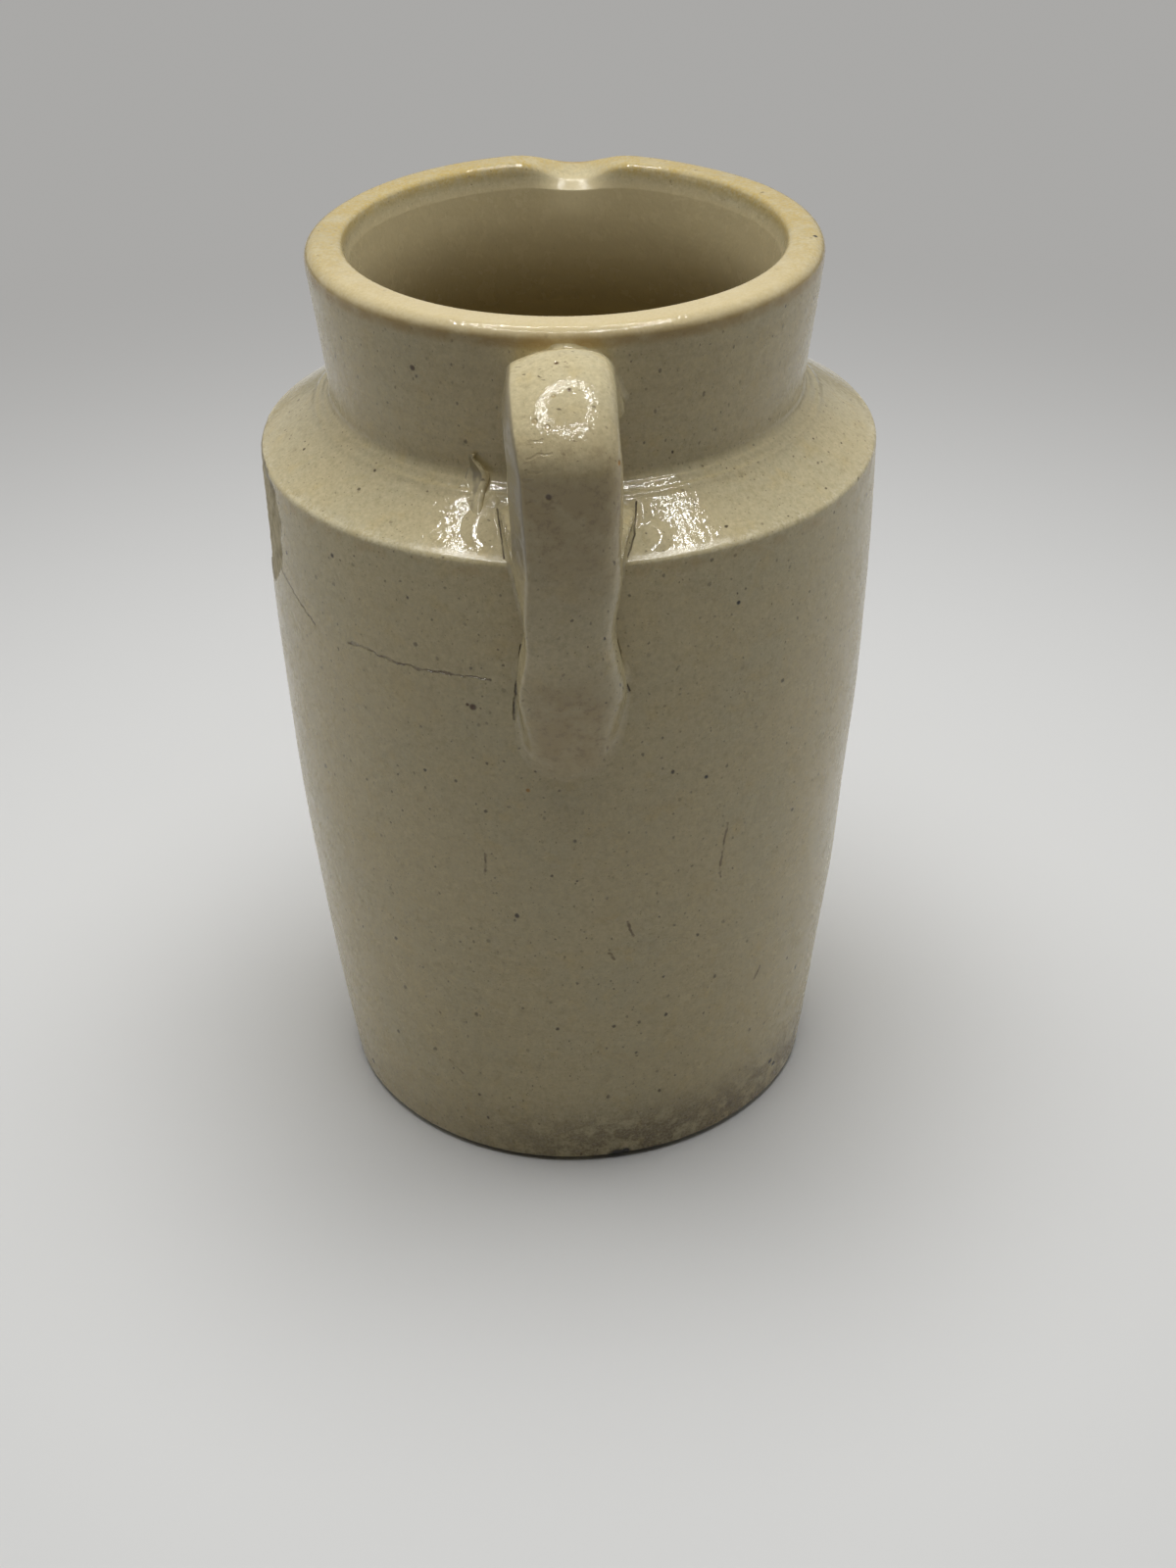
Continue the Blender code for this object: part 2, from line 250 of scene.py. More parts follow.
def edit(obj):
    take(obj)
    bpy.ops.object.mode_set(mode="EDIT")
    bpy.ops.mesh.select_all(action="SELECT")


def fresh(name):
    """Names the primitive that was just added and puts its place into its mesh."""
    piece = bpy.context.object
    piece.name = name
    piece.data.name = name
    bpy.ops.object.transform_apply(location=True, rotation=True, scale=True)
    return piece


def apply_all(obj):
    take(obj)
    for modifier in list(obj.modifiers):
        bpy.ops.object.modifier_apply(modifier=modifier.name)


def copy_of(obj, name):
    twin = obj.copy()
    twin.data = obj.data.copy()
    twin.name = name
    bpy.context.scene.collection.objects.link(twin)
    return twin


def subdivide_smooth(obj, levels):
    soft = obj.modifiers.new("soft", "SUBSURF")
    soft.levels = levels
    soft.render_levels = levels
    apply_all(obj)


def unsteady_hand(obj, size, depth):
    """The slight unevenness of wet clay: a cloud pattern pushed along the normals."""
    cloud = bpy.data.textures.new("clay_cloud", "CLOUDS")
    cloud.noise_scale = size
    cloud.noise_depth = 0
    push = obj.modifiers.new("uneven", "DISPLACE")
    push.texture = cloud
    push.texture_coords = "LOCAL"
    push.strength = depth
    push.mid_level = 0.5
    apply_all(obj)


def weigh(obj, name, weight_of):
    """Gives an object a vertex group, with a weight worked out for every vertex."""
    group = obj.vertex_groups.new(name=name)
    for vertex in obj.data.vertices:
        weight = weight_of(vertex)
        if weight > 0:
            group.add([vertex.index], weight, "REPLACE")


def rub_smooth(obj, passes, group=""):
    """Smooths a mesh, all over or as far as a vertex group says."""
    rub = obj.modifiers.new("rub", "SMOOTH")
    rub.factor = RUB_FACTOR
    rub.iterations = passes
    rub.vertex_group = group
    apply_all(obj)


def sink_skin(obj, depth, group=""):
    """Takes a mesh in along its normals, all over or as far as a vertex group says."""
    sink = obj.modifiers.new("sink", "DISPLACE")
    sink.strength = -depth
    sink.mid_level = 0.0
    sink.vertex_group = group
    apply_all(obj)
    obj.vertex_groups.clear()


def combine(obj, other, operation):
    """Cuts or joins two solids and removes the second."""
    cut = obj.modifiers.new("combine", "BOOLEAN")
    cut.operation = operation
    cut.solver = "MANIFOLD"
    cut.object = other
    apply_all(obj)
    bpy.data.objects.remove(other)


def rolled_sheet(name, sections):
    """A flat sheet rolled through a row of closed sections into a tube with closed ends."""
    run = len(sections) - 1
    round_about = len(sections[0]) - 1
    deselect()
    bpy.ops.mesh.primitive_grid_add(x_subdivisions=round_about, y_subdivisions=run, size=1)
    tube = fresh(name)
    for vertex in tube.data.vertices:
        around = round((vertex.co.x + 0.5) * round_about)
        step = round((vertex.co.y + 0.5) * run)
        vertex.co = sections[step][around]
    edit(tube)
    bpy.ops.mesh.remove_doubles(threshold=SEAM)
    bpy.ops.mesh.fill_holes(sides=0)
    bpy.ops.mesh.normals_make_consistent(inside=False)
    bpy.ops.object.mode_set(mode="OBJECT")
    return tube


def blend(first, last, part):
    """Smooth step from one value to another."""
    part = min(max(part, 0.0), 1.0)
    return first + (last - first) * part * part * (3 - 2 * part)


def between(table, spot):
    """A value that runs smoothly through a few (place, value) pairs, placed from high to low."""
    for (high, first), (low, last) in zip(table, table[1:]):
        if spot >= low:
            return blend(first, last, (high - spot) / (high - low))
    return table[-1][1]


def corner(before, point, after, radius, steps):
    """Points of an arc tangent to both sides of a corner of the section."""
    into = (Vector(before) - Vector(point)).normalized()
    out = (Vector(after) - Vector(point)).normalized()
    half = into.angle(out) / 2
    reach = radius / math.tan(half)
    middle = Vector(point) + (into + out).normalized() * (radius / math.sin(half))
    first = (Vector(point) + into * reach - middle).normalized()
    last = (Vector(point) + out * reach - middle).normalized()
    points = []
    for step in range(steps + 1):
        spot = middle + first.slerp(last, step / steps) * radius
        points.append((spot.x, spot.y))
    return points


def spaced(points, count):
    """The same line again, cut into equal steps."""
    lengths = [0.0]
    for first, last in zip(points, points[1:]):
        lengths.append(lengths[-1] + math.dist(first, last))
    result = []
    leg = 0
    for step in range(count + 1):
        goal = lengths[-1] * step / count
        while leg < len(points) - 2 and lengths[leg + 1] < goal:
            leg += 1
        part = (goal - lengths[leg]) / (lengths[leg + 1] - lengths[leg])
        result.append(tuple(a + (b - a) * part for a, b in zip(points[leg], points[leg + 1])))
    return result


def even(points, spacing):
    """Adds points to a section so that no two are further apart than the spacing."""
    dense = [points[0]]
    for first, last in zip(points, points[1:]):
        count = max(1, math.ceil(math.dist(first, last) / spacing))
        for step in range(1, count + 1):
            part = step / count
            dense.append(tuple(a + (b - a) * part for a, b in zip(first, last)))
    return dense


def wall_radius(height):
    part = height / SHOULDER_EDGE
    straight = BASE_RADIUS + (SHOULDER_RADIUS - BASE_RADIUS) * part
    return straight + 4 * WALL_BOW * part * (1 - part)


def skin_radius(height):
    """The pot's outside at any height, without its small roundings."""
    if height < SHOULDER_EDGE:
        return wall_radius(height)
    if height < NECK_FOOT:
        part = (height - SHOULDER_EDGE) / (NECK_FOOT - SHOULDER_EDGE)
        return SHOULDER_RADIUS + (NECK_RADIUS - SHOULDER_RADIUS) * part
    part = (height - NECK_FOOT) / (HEIGHT - NECK_FOOT)
    return NECK_RADIUS + (RIM_RADIUS - NECK_RADIUS) * part


def turning_ridges(points):
    """Two fine ridges that the turning rib left where the shoulder meets the neck."""
    raised = []
    for radius, height in points:
        lift = 0.0
        if SHOULDER_EDGE + TURNED_MARGIN < height < NECK_FOOT + TURNED_MARGIN:
            for place, rise in TURNED_RIDGES:
                lift += rise * math.exp(-(((radius - place) / TURNED_SPREAD) ** 2))
        raised.append((radius, height + lift))
    return raised


def outer_section():
    """The pot's outside, from the base up to the rim."""
    base = (wall_radius(FOOT_RISE), FOOT_RISE)
    edge = (SHOULDER_RADIUS, SHOULDER_EDGE)
    below = (wall_radius(SHOULDER_EDGE * BELOW_EDGE), SHOULDER_EDGE * BELOW_EDGE)
    foot = (NECK_RADIUS, NECK_FOOT)
    rim = (RIM_RADIUS, HEIGHT)
    low = (wall_radius(LOW_WALL), LOW_WALL)
    wall = [(FOOT_RADIUS, 0.0)] + corner((FOOT_RADIUS, 0.0), base, low, BASE_ROUND, 4)
    for step in range(1, WALL_STEPS + 1):
        height = SHOULDER_EDGE * (WALL_FIRST + WALL_SPAN * step / WALL_STEPS)
        wall.append((wall_radius(height), height))
    shoulder = corner(below, edge, foot, SHOULDER_ROUND, 5)
    neck = corner(edge, foot, rim, NECK_FILLET, 5)
    lean = (foot[1] - edge[1]) / (foot[0] - edge[0])
    start = (NECK_RADIUS + TURNED_WIDTH, NECK_FOOT + TURNED_WIDTH * lean)
    turned = turning_ridges(even([start] + neck, TURNED_SPACING))
    top = corner(foot, rim, (0.0, HEIGHT), RIM_ROUND, 6)
    return even(wall + shoulder + turned + top, OUTER_SPACING)


def inner_section():
    """The pot's inside, from the rim down to the floor."""
    mouth = (RIM_RADIUS - RIM_WIDTH, HEIGHT)
    cove = (RIM_RADIUS - RIM_WIDTH - MOUTH_PINCH, HEIGHT - MOUTH_COVE)
    inner_edge = SHOULDER_EDGE - WALL / 2
    inner_wall = wall_radius(inner_edge) - WALL
    slope = (NECK_FOOT - SHOULDER_EDGE) / (SHOULDER_RADIUS - NECK_RADIUS)
    throat = (THROAT_RADIUS, THROAT_HEIGHT)
    neck = (THROAT_FOOT, inner_edge + (inner_wall - THROAT_FOOT) * slope)
    edge = (inner_wall, inner_edge)
    high = inner_edge * INNER_BELOW
    below = (wall_radius(high) - WALL, high)
    floor = (wall_radius(FLOOR) - WALL, FLOOR)
    low = (wall_radius(FLOOR * 2) - WALL, FLOOR * 2)
    points = corner((RIM_RADIUS, HEIGHT), mouth, cove, MOUTH_ROUND, 4)
    points += corner(mouth, cove, throat, COVE_ROUND, 3)
    points += corner(cove, throat, neck, THROAT_ROUND, 4)
    points += corner(throat, neck, edge, THROAT_FOOT_ROUND, 5)
    points += corner(neck, edge, below, WALL / 2, 4)
    for step in range(1, INNER_STEPS + 1):
        height = high + (FLOOR * INNER_LOW - high) * step / INNER_STEPS
        points.append((wall_radius(height) - WALL, height))
    points += corner(low, floor, (0.0, FLOOR), FLOOR_ROUND, 6)
    return even(points, INNER_SPACING)


def raise_pot(name, section, segments):
    """A disc drawn up, over and down through every ring of a section."""
    deselect()
    radius, height = section[0]
    bpy.ops.mesh.primitive_circle_add(
        vertices=segments, radius=radius, fill_type="NGON", location=(0, 0, height)
    )
    pot = fresh(name)
    bpy.ops.object.mode_set(mode="EDIT")
    bpy.ops.mesh.select_mode(type="FACE")
    bpy.ops.mesh.select_all(action="SELECT")
    for (before, low), (after, high) in zip(section, section[1:]):
        bpy.ops.mesh.extrude_region_move(TRANSFORM_OT_translate={"value": (0, 0, high - low)})
        ratio = after / before
        bpy.ops.transform.resize(value=(ratio, ratio, 1), center_override=(0, 0, high))
    return pot


def pinch(pot, place, move, reach, depth):
    """Draws the clay of the rim about one place along with a finger, less and less down to a depth."""
    grip = bpy.data.objects.new("finger_grip", None)
    pulled = bpy.data.objects.new("finger_pull", None)
    grip.location = place
    pulled.location = place + move
    for empty in (grip, pulled):
        bpy.context.scene.collection.objects.link(empty)
    weigh(pot, "rim", lambda vertex: blend(1.0, 0.0, (HEIGHT - vertex.co.z) / depth))
    warp = pot.modifiers.new("pinch", "WARP")
    warp.object_from = grip
    warp.object_to = pulled
    warp.falloff_type = "SMOOTH"
    warp.falloff_radius = reach
    warp.vertex_group = "rim"
    bpy.context.view_layer.update()
    apply_all(pot)
    pot.vertex_groups.clear()
    for empty in (grip, pulled):
        bpy.data.objects.remove(empty)


def lip_pull(pot):
    """The pouring lip: the rim drawn out and down, and its inner edge thumbed into a groove."""
    out = Vector((math.sin(LIP_TURN), math.cos(LIP_TURN), 0))
    aside = Vector((out.y, -out.x, 0))
    down = Vector((0, 0, -1))
    rim = out * (RIM_RADIUS - RIM_WIDTH / 2) - down * HEIGHT
    pinch(pot, rim, out * LIP_PULL + down * LIP_DIP, LIP_REACH, LIP_DEPTH)
    inner = out * (RIM_RADIUS - RIM_WIDTH) - down * (HEIGHT - LIP_DIP)
    for step in (-THUMB_STEP, THUMB_STEP):
        pinch(pot, inner + aside * step, down * THUMB_DIP, THUMB_REACH, THUMB_DEPTH)


def stand_level(obj):
    """Nothing reaches below the surface that the jug stands on."""
    for vertex in obj.data.vertices:
        vertex.co.z = max(vertex.co.z, 0.0)


def clay_noise(spot, layers):
    """Layers of noise, each with its strength and scale."""
    return sum(strength * noise.noise(spot * scale) for strength, scale in layers)


def chip_place(spot):
    """Where a point lies in the flake scar: aside and aloft, each from its middle to its border."""
    turn = math.degrees(math.atan2(spot.x, -spot.y))
    return (turn - CHIP_TURN) / CHIP_SPREAD, (spot.z - CHIP_HEIGHT) / CHIP_TALL


def chip_depth(spot):
    """How much of the flake scar's depth, from 0 to 1, a point of the shoulder's edge has lost."""
    away = math.hypot(*chip_place(spot))
    inside = blend(0.0, 1.0, (1.0 + clay_noise(spot, CHIP_RAG) - away) / CHIP_EDGE)
    return inside * blend(0.0, 1.0, (CHIP_TOP - spot.z) / CHIP_TOP_RUN)


def knock_chip(pot):
    """A flake struck off the shoulder's edge: a shallow rough scar with a ragged border."""
    take(pot)
    for polygon in pot.data.polygons:
        middle = polygon.center
        aside, aloft = chip_place(middle)
        near = abs(aside) < CHIP_REACH and abs(aloft) < CHIP_REACH
        polygon.select = near and math.hypot(middle.x, middle.y) > CHIP_SHELL
    bpy.ops.object.mode_set(mode="EDIT")
    bpy.ops.mesh.select_mode(type="FACE")
    bpy.ops.mesh.subdivide(number_cuts=2)
    bpy.ops.object.mode_set(mode="OBJECT")
    scar = pot.data.attributes.new("scar", "FLOAT", "POINT")
    depths = [chip_depth(vertex.co) for vertex in pot.data.vertices]
    scar.data.foreach_set("value", depths)
    for vertex, depth in zip(pot.data.vertices, depths):
        if depth > 0:
            rough = clay_noise(vertex.co, CHIP_GRAIN)
            flat = Vector((vertex.co.x, vertex.co.y, 0)).normalized()
            vertex.co -= (flat * CHIP_INWARD + CHIP_DOWN) * depth * (CHIP_DEEP + CHIP_GRAIN_DEEP * rough)


def make_body():
    """The pot, raised ring by ring, its lip pinched and its shoulder chipped."""
    pot = raise_pot("thrown_body_glazed", outer_section() + inner_section(), POT_SEGMENTS)
    # The last face is the inside floor: ring it so that the glaze shades evenly
    for _ in range(3):
        bpy.ops.mesh.inset(thickness=FLOOR_RING)
    bpy.ops.mesh.poke()
    bpy.ops.object.mode_set(mode="OBJECT")
    lip_pull(pot)
    subdivide_smooth(pot, 1)
    unsteady_hand(pot, *THROWN_WAVE)
    stand_level(pot)
    knock_chip(pot)
    bpy.ops.object.shade_smooth()
    return pot


def arc(middle, radius, first, last, steps):
    """Points of an arc from one angle to another."""
    points = []
    for step in range(steps + 1):
        angle = first + (last - first) * step / steps
        points.append((middle[0] + radius * math.cos(angle), middle[1] + radius * math.sin(angle)))
    return points


def strap_line():
    """The middle of the strap, as (distance from the pot's axis, height), from the neck to its tip."""
    inset = STRAP_THICKNESS / 2
    ahead, crest = STRAP_CREST
    back = arc((ahead, crest - BEND_BACK), BEND_BACK - inset, BACK_TURN, math.pi / 2, 10)
    middle = Vector((ahead, crest - BEND_TOP))
    over = arc(middle, BEND_TOP - inset, math.pi / 2, FRONT_TURN, 10)
    middle += Vector((math.cos(FRONT_TURN), math.sin(FRONT_TURN))) * (BEND_TOP - BEND_FRONT)
    down = arc(middle, BEND_FRONT - inset, FRONT_TURN, 0.0, 14)
    root = (back[0][0] - ROOT_RUN * math.sin(BACK_TURN), back[0][1] + ROOT_RUN * math.cos(BACK_TURN))
    points = [root] + back + over[1:] + down[1:]
    top = Vector(points[-1])
    knee = STRAP_KNEE
    drop = geometry.interpolate_bezier(top, top - BEND_LEAVE, knee + KNEE_MEET, knee, 40)
    end = geometry.interpolate_bezier(knee, knee - KNEE_LEAVE, STRAP_TIP + TIP_MEET, STRAP_TIP, 16)
    points += [(spot.x, spot.y) for spot in drop[1:] + end[1:]]
    return spaced(points, STRAP_RUN)


def strap_outline(width, height):
    """One section of the strap: flat behind, crowned in front, its left flank leaning back."""
    half = width / 2
    depth = STRAP_THICKNESS / 2
    slant = between(STRAP_SLANT, height)
    shift = between(CROWN_SHIFT, height)
    fit = min(1.0, width / FULL_WIDTH)

    def crown(across):
        return depth - CROWN_RADIUS + math.sqrt(CROWN_RADIUS**2 - (across - shift) ** 2)

    back_left = (-half, -depth)
    back_right = (half, -depth)
    front_right = (half, crown(half))
    front_left = (-half + slant, crown(-half + slant))
    face = [(half * part, crown(half * part)) for part in CROWN_PARTS]
    line = corner(front_left, back_left, back_right, BACK_ROUNDS[0] * fit, 4)
    line += corner(back_left, back_right, front_right, BACK_ROUNDS[1] * fit, 4)
    line += corner(back_right, front_right, face[0], between(EDGE_ROUND, height) * fit**2, 8)
    line += face
    line += corner(face[-1], front_left, back_left, between(RIDGE_ROUND, height), 5)
    return spaced(line + line[:1], STRAP_ROUND)


def make_strap():
    """A flat sheet rolled into a tube along the strap's line, then softened."""
    line = strap_line()
    sections = []
    for step, (reach, height) in enumerate(line):
        before = Vector(line[max(step - 1, 0)])
        after = Vector(line[min(step + 1, STRAP_RUN)])
        along = (after - before).normalized()
        outward = Vector((-along.y, along.x))
        width = between(STRAP_WIDTHS, height)
        if reach < STRAP_CREST[0]:
            width *= 1 + ROOT_FLARE * ((STRAP_CREST[0] - reach) / BEND_BACK) ** 2
        aside = between(STRAP_OFFSET, height)
        section = []
        for across, deep in strap_outline(width, height):
            section.append((across + aside, -(reach + outward.x * deep), height + outward.y * deep))
        sections.append(section)
    strap = rolled_sheet("strap_handle_glazed", sections)
    subdivide_smooth(strap, 1)
    unsteady_hand(strap, *STRAP_WAVE)
    bpy.ops.object.shade_smooth()
    return strap


def block(name, middle, size):
    """A box, from its middle and its sizes."""
    deselect()
    bpy.ops.mesh.primitive_cube_add(size=1, location=middle)
    bpy.context.object.scale = size
    return fresh(name)


def keep_inside(obj, low, high):
    """Keeps what lies inside a box and leaves it closed."""
    middle = [(a + b) / 2 * MM for a, b in zip(low, high)]
    size = [(b - a) * MM for a, b in zip(low, high)]
    combine(obj, block("trim_block", middle, size), "INTERSECT")


def lump(name, place, size, lean=(0, 0, 0)):
    deselect()
    bpy.ops.mesh.primitive_uv_sphere_add(segments=48, ring_count=32, location=place, rotation=lean)
    bpy.context.object.scale = size
    return fresh(name)


def make_wad():
    """The block of slip that fills the wedge between strap and shoulder."""
    wad = block("shoulder_wad", Vector(WAD_MIDDLE) * MM, Vector(WAD_SIZE) * MM)
    for vertex in wad.data.vertices:
        front = vertex.co.y < WAD_MIDDLE[1] * MM
        high = vertex.co.z > WAD_MIDDLE[2] * MM
        if front:
            vertex.co.x *= WAD_FRONT
        else:
            vertex.co.z -= WAD_FALL * MM if high else 0.0
        if not high:
            vertex.co.x *= WAD_FOOT
    return wad


def sink_strap(strap):
    """Takes the strap's two ends a little below the slip that is smeared over them."""

    def end_weight(vertex):
        low = blend(0.0, 1.0, (SMEAR_HEIGHT - vertex.co.z) / SMEAR_RUN)
        if vertex.co.z <= NECK_FOOT:
            return low
        return max(low, blend(0.0, 1.0, (vertex.co.y + ROOT_REACH) / SMEAR_RUN))

    weigh(strap, "ends", end_weight)
    sink_skin(strap, SMEAR_COVER, "ends")


def crack_gap(spot):
    """Distance from a place, as seen from the front, to the nearest crack beside the strap."""
    seen = Vector((spot.x, 0.0, spot.z)) / MM
    nearest = math.inf
    for line in CRACKS:
        for start, end in zip(line, line[1:]):
            part = geometry.intersect_point_line(seen, start, end)[1]
            reached = Vector(start).lerp(Vector(end), min(max(part, 0.0), 1.0))
            nearest = min(nearest, (seen - reached).length)
    return nearest * MM


def open_cracks(clay):
    """Draws the clay in along the cracks."""
    for vertex in clay.data.vertices:
        beside = CRACK_INNER < abs(vertex.co.x) < CRACK_OUTER and CRACK_LOW < vertex.co.z < NECK_FOOT
        if beside and PROUD_SIDE < vertex.co.y < FRONT_SIDE:
            gap = crack_gap(vertex.co)
            if gap < CRACK_WIDE:
                vertex.co -= vertex.normal * blend(CRACK_DEEP, 0.0, gap / CRACK_WIDE)


def pad_weight(vertex):
    """How much of a place on top of the shoulder slip belongs to a pad, from 0 to 1."""
    most = 0.0
    if vertex.normal.z > 0:
        along = Vector((0, math.cos(PAD_LEAN), math.sin(PAD_LEAN)))
        for place, size, _ in SLIP_PADS:
            away = vertex.co / MM - Vector(place)
            reach = math.hypot(away.x / size[0], away.dot(along) / size[1])
            most = max(most, blend(1.0, 0.0, (reach - PAD_BORDER) / PAD_FADE))
    return most


def add_pads(slip):
    """Joins shallow lenses of slip onto the shoulder and rubs their edges soft."""
    axis = Vector((0, -math.sin(PAD_LEAN), math.cos(PAD_LEAN)))
    for place, size, proud in SLIP_PADS:
        middle = Vector(place) - axis * (size[2] - proud)
        combine(slip, lump("slip_pad", middle * MM, Vector(size) * MM, (PAD_LEAN, 0, 0)), "UNION")
    weigh(slip, "pads", pad_weight)
    rub_smooth(slip, PAD_SOFT, "pads")
    slip.vertex_groups.clear()
    bpy.ops.object.shade_smooth()


def smear_weight(vertex):
    """How much the wet clay is rubbed: at the strap's lower end, on the shoulder and behind the strap."""
    spot = vertex.co
    weight = blend(0.0, 1.0, (SMEAR_HEIGHT - spot.z) / (2 * SMEAR_RUN))
    if WAD_FOOT_HEIGHT < spot.z < NECK_FOOT:
        weight = POOL
    if abs(spot.x) < WEDGE_ASIDE and WEDGE_FRONT < spot.y < WEDGE_BACK:
        weight = max(weight, blend(0.0, WEDGE_RUB, (spot.z - WEDGE_LOW) / WEDGE_RISE))
    return weight


def make_slips(pot, strap):
    """Pot, strap and wad run together as wet clay; what shows of it is the luting slip."""
    clay = copy_of(pot, "wet_clay")
    keep_inside(clay, *CLAY_BOX)
    parts = [copy_of(strap, "strap_clay"), make_wad()]
    take(clay)
    for part in parts:
        part.select_set(True)
    bpy.ops.object.join()
    mould = clay.modifiers.new("run_together", "REMESH")
    mould.mode = "VOXEL"
    mould.voxel_size = CLAY_GRAIN
    apply_all(clay)
    rub_smooth(clay, MELT)
    weigh(clay, "smear", smear_weight)
    rub_smooth(clay, RUB, "smear")
    sink_skin(clay, SKIN_DEPTH)
    open_cracks(clay)
    bpy.ops.object.shade_smooth()
    slips = []
    for name, low, high in SLIP_BOXES:
        slip = copy_of(clay, name)
        slip.data.name = name
        keep_inside(slip, low, high)
        slips.append(slip)
    bpy.data.objects.remove(clay)
    add_pads(slips[1])
    sink_strap(strap)
    return slips


def burr_outline(crest, left, deep):
    """One section of the burr: a hollow slope up to its free edge, a steep drop and its buried part."""
    crest = Vector(crest)
    inward = Vector(BURR_INWARD)
    aside = Vector(BURR_RIGHT)
    foot = Vector(left) + inward * BURR_SUNK
    slope = (crest - foot).length
    points = [foot.lerp(crest, part) + inward * hollow * slope for part, hollow in BURR_SLOPE]
    points += [crest + aside * right * deep + inward * into * deep for right, into in BURR_DROP]
    points.append(foot + inward * BURR_BURIED * deep)
    return spaced([tuple(point) for point in points + points[:1]], BURR_ROUND)


def make_burr():
    """A sheet rolled into a fin of slip, pushed up where the strap was pressed on, hooked at its tip."""
    stations = [crest + left + (deep,) for crest, left, deep in BURR_LINE]
    sections = []
    for station in spaced(stations, BURR_RUN):
        outline = burr_outline(station[:3], station[3:6], station[6])
        sections.append([Vector(spot) * MM for spot in outline])
    burr = rolled_sheet("slip_burr_glazed", sections)
    edit(burr)
    bpy.ops.mesh.vertices_smooth(factor=RUB_FACTOR, repeat=4)
    bpy.ops.object.mode_set(mode="OBJECT")
    subdivide_smooth(burr, 1)
    unsteady_hand(burr, *BURR_WAVE)
    bpy.ops.object.shade_smooth()
    return burr


def put(tree, kind, inputs=(), **settings):
    """Adds a node, sets its options and fills its sockets with links or values."""
    item = tree.nodes.new("ShaderNode" + kind)
    for key, value in settings.items():
        setattr(item, key, value)
    for key, value in dict(inputs).items():
        if isinstance(value, bpy.types.NodeSocket):
            tree.links.new(value, item.inputs[key])
        else:
            item.inputs[key].default_value = value
    return item


def calc(tree, operation, *values):
    return put(tree, "Math", enumerate(values), operation=operation).outputs[0]


def vector_calc(tree, operation, *values):
    item = put(tree, "VectorMath", enumerate(values), operation=operation)
    return item.outputs["Value" if operation in ("DOT_PRODUCT", "LENGTH") else "Vector"]


def ramp(tree, value, low, high, bottom=0.0, top=1.0):
    """Smooth step of a value between two levels."""
    sockets = {"Value": value, "From Min": low, "From Max": high, "To Min": bottom, "To Max": top}
    return put(tree, "MapRange", sockets, interpolation_type="SMOOTHSTEP").outputs["Result"]


def tint(tree, factor, first, last, mode="MIX"):
    item = put(tree, "Mix", {0: factor, 6: first, 7: last}, data_type="RGBA", blend_type=mode)
    return item.outputs[2]


def masked(tree, *masks):
    """The product of masks: sockets, numbers, or (value, steps) pairs that become smooth steps."""
    product = None
    for mask in masks:
        if isinstance(mask, tuple):
            value, steps = mask
            mask = ramp(tree, value, *steps)
        product = mask if product is None else calc(tree, "MULTIPLY", product, mask)
    return product


def coat(tree, colour, paint, *masks):
    """Lays a paint over a colour, as far as all the masks let it."""
    return tint(tree, masked(tree, *masks), colour, (*paint, 1))


def flat_point(tree, across, along):
    """A point of a flattened layout."""
    return put(tree, "CombineXYZ", {"X": across, "Y": along}).outputs[0]


def grain(tree, point, scale, detail=2.0, rough=0.5):
    sockets = {"Vector": point, "Scale": scale, "Detail": detail, "Roughness": rough}
    return put(tree, "TexNoise", sockets).outputs["Fac"]


def new_group(name, inputs, outputs):
    """A shader node group with named sockets; gives the tree, its inputs and its outputs."""
    group = bpy.data.node_groups.new(name, "ShaderNodeTree")
    for label, kind in inputs:
        group.interface.new_socket(label, in_out="INPUT", socket_type="NodeSocket" + kind)
    for label, kind in outputs:
        group.interface.new_socket(label, in_out="OUTPUT", socket_type="NodeSocket" + kind)
    start = group.nodes.new("NodeGroupInput")
    end = group.nodes.new("NodeGroupOutput")
    return group, start.outputs, end.inputs


def use(tree, group, **inputs):
    """Places a group; socket names are written with small letters."""
    sockets = {name.capitalize(): value for name, value in inputs.items()}
    return put(tree, "Group", sockets, node_tree=group).outputs[0]


def group_specks():
    """Iron specks: a ragged dot of its own size in some of the cells of a scattered flat grid."""
    tree, given, result = new_group(
        "iron_specks",
        (("Point", "Vector"), ("Spacing", "Float"), ("Size", "Float"), ("Share", "Float")),
        (("Mask", "Float"),),
    )
    point = given["Point"]
    scale = calc(tree, "DIVIDE", 1.0, given["Spacing"])
    rag = put(tree, "TexNoise", {"Vector": point, **SPECK_RAG}).outputs["Color"]
    rag = vector_calc(tree, "SUBTRACT", rag, MIDDLE_GREY)
    place = vector_calc(tree, "MULTIPLY_ADD", rag, SPECK_SHAKE, point)
    cells = put(tree, "TexVoronoi", {"Vector": place, "Scale": scale}, voronoi_dimensions="2D").outputs
    lot = put(tree, "SeparateColor", {"Color": cells["Color"]}).outputs
    part = calc(tree, "MULTIPLY_ADD", lot["Green"], *SPECK_SIZES)
    away = calc(tree, "MULTIPLY", cells["Distance"], given["Spacing"])
    away = calc(tree, "DIVIDE", away, calc(tree, "MULTIPLY", part, given["Size"]))
    chosen = calc(tree, "LESS_THAN", lot["Red"], given["Share"])
    strong = calc(tree, "MULTIPLY_ADD", lot["Blue"], *SPECK_STRENGTHS)
    tree.links.new(masked(tree, (away, SPOT_EDGE), chosen, strong), result["Mask"])
    return tree


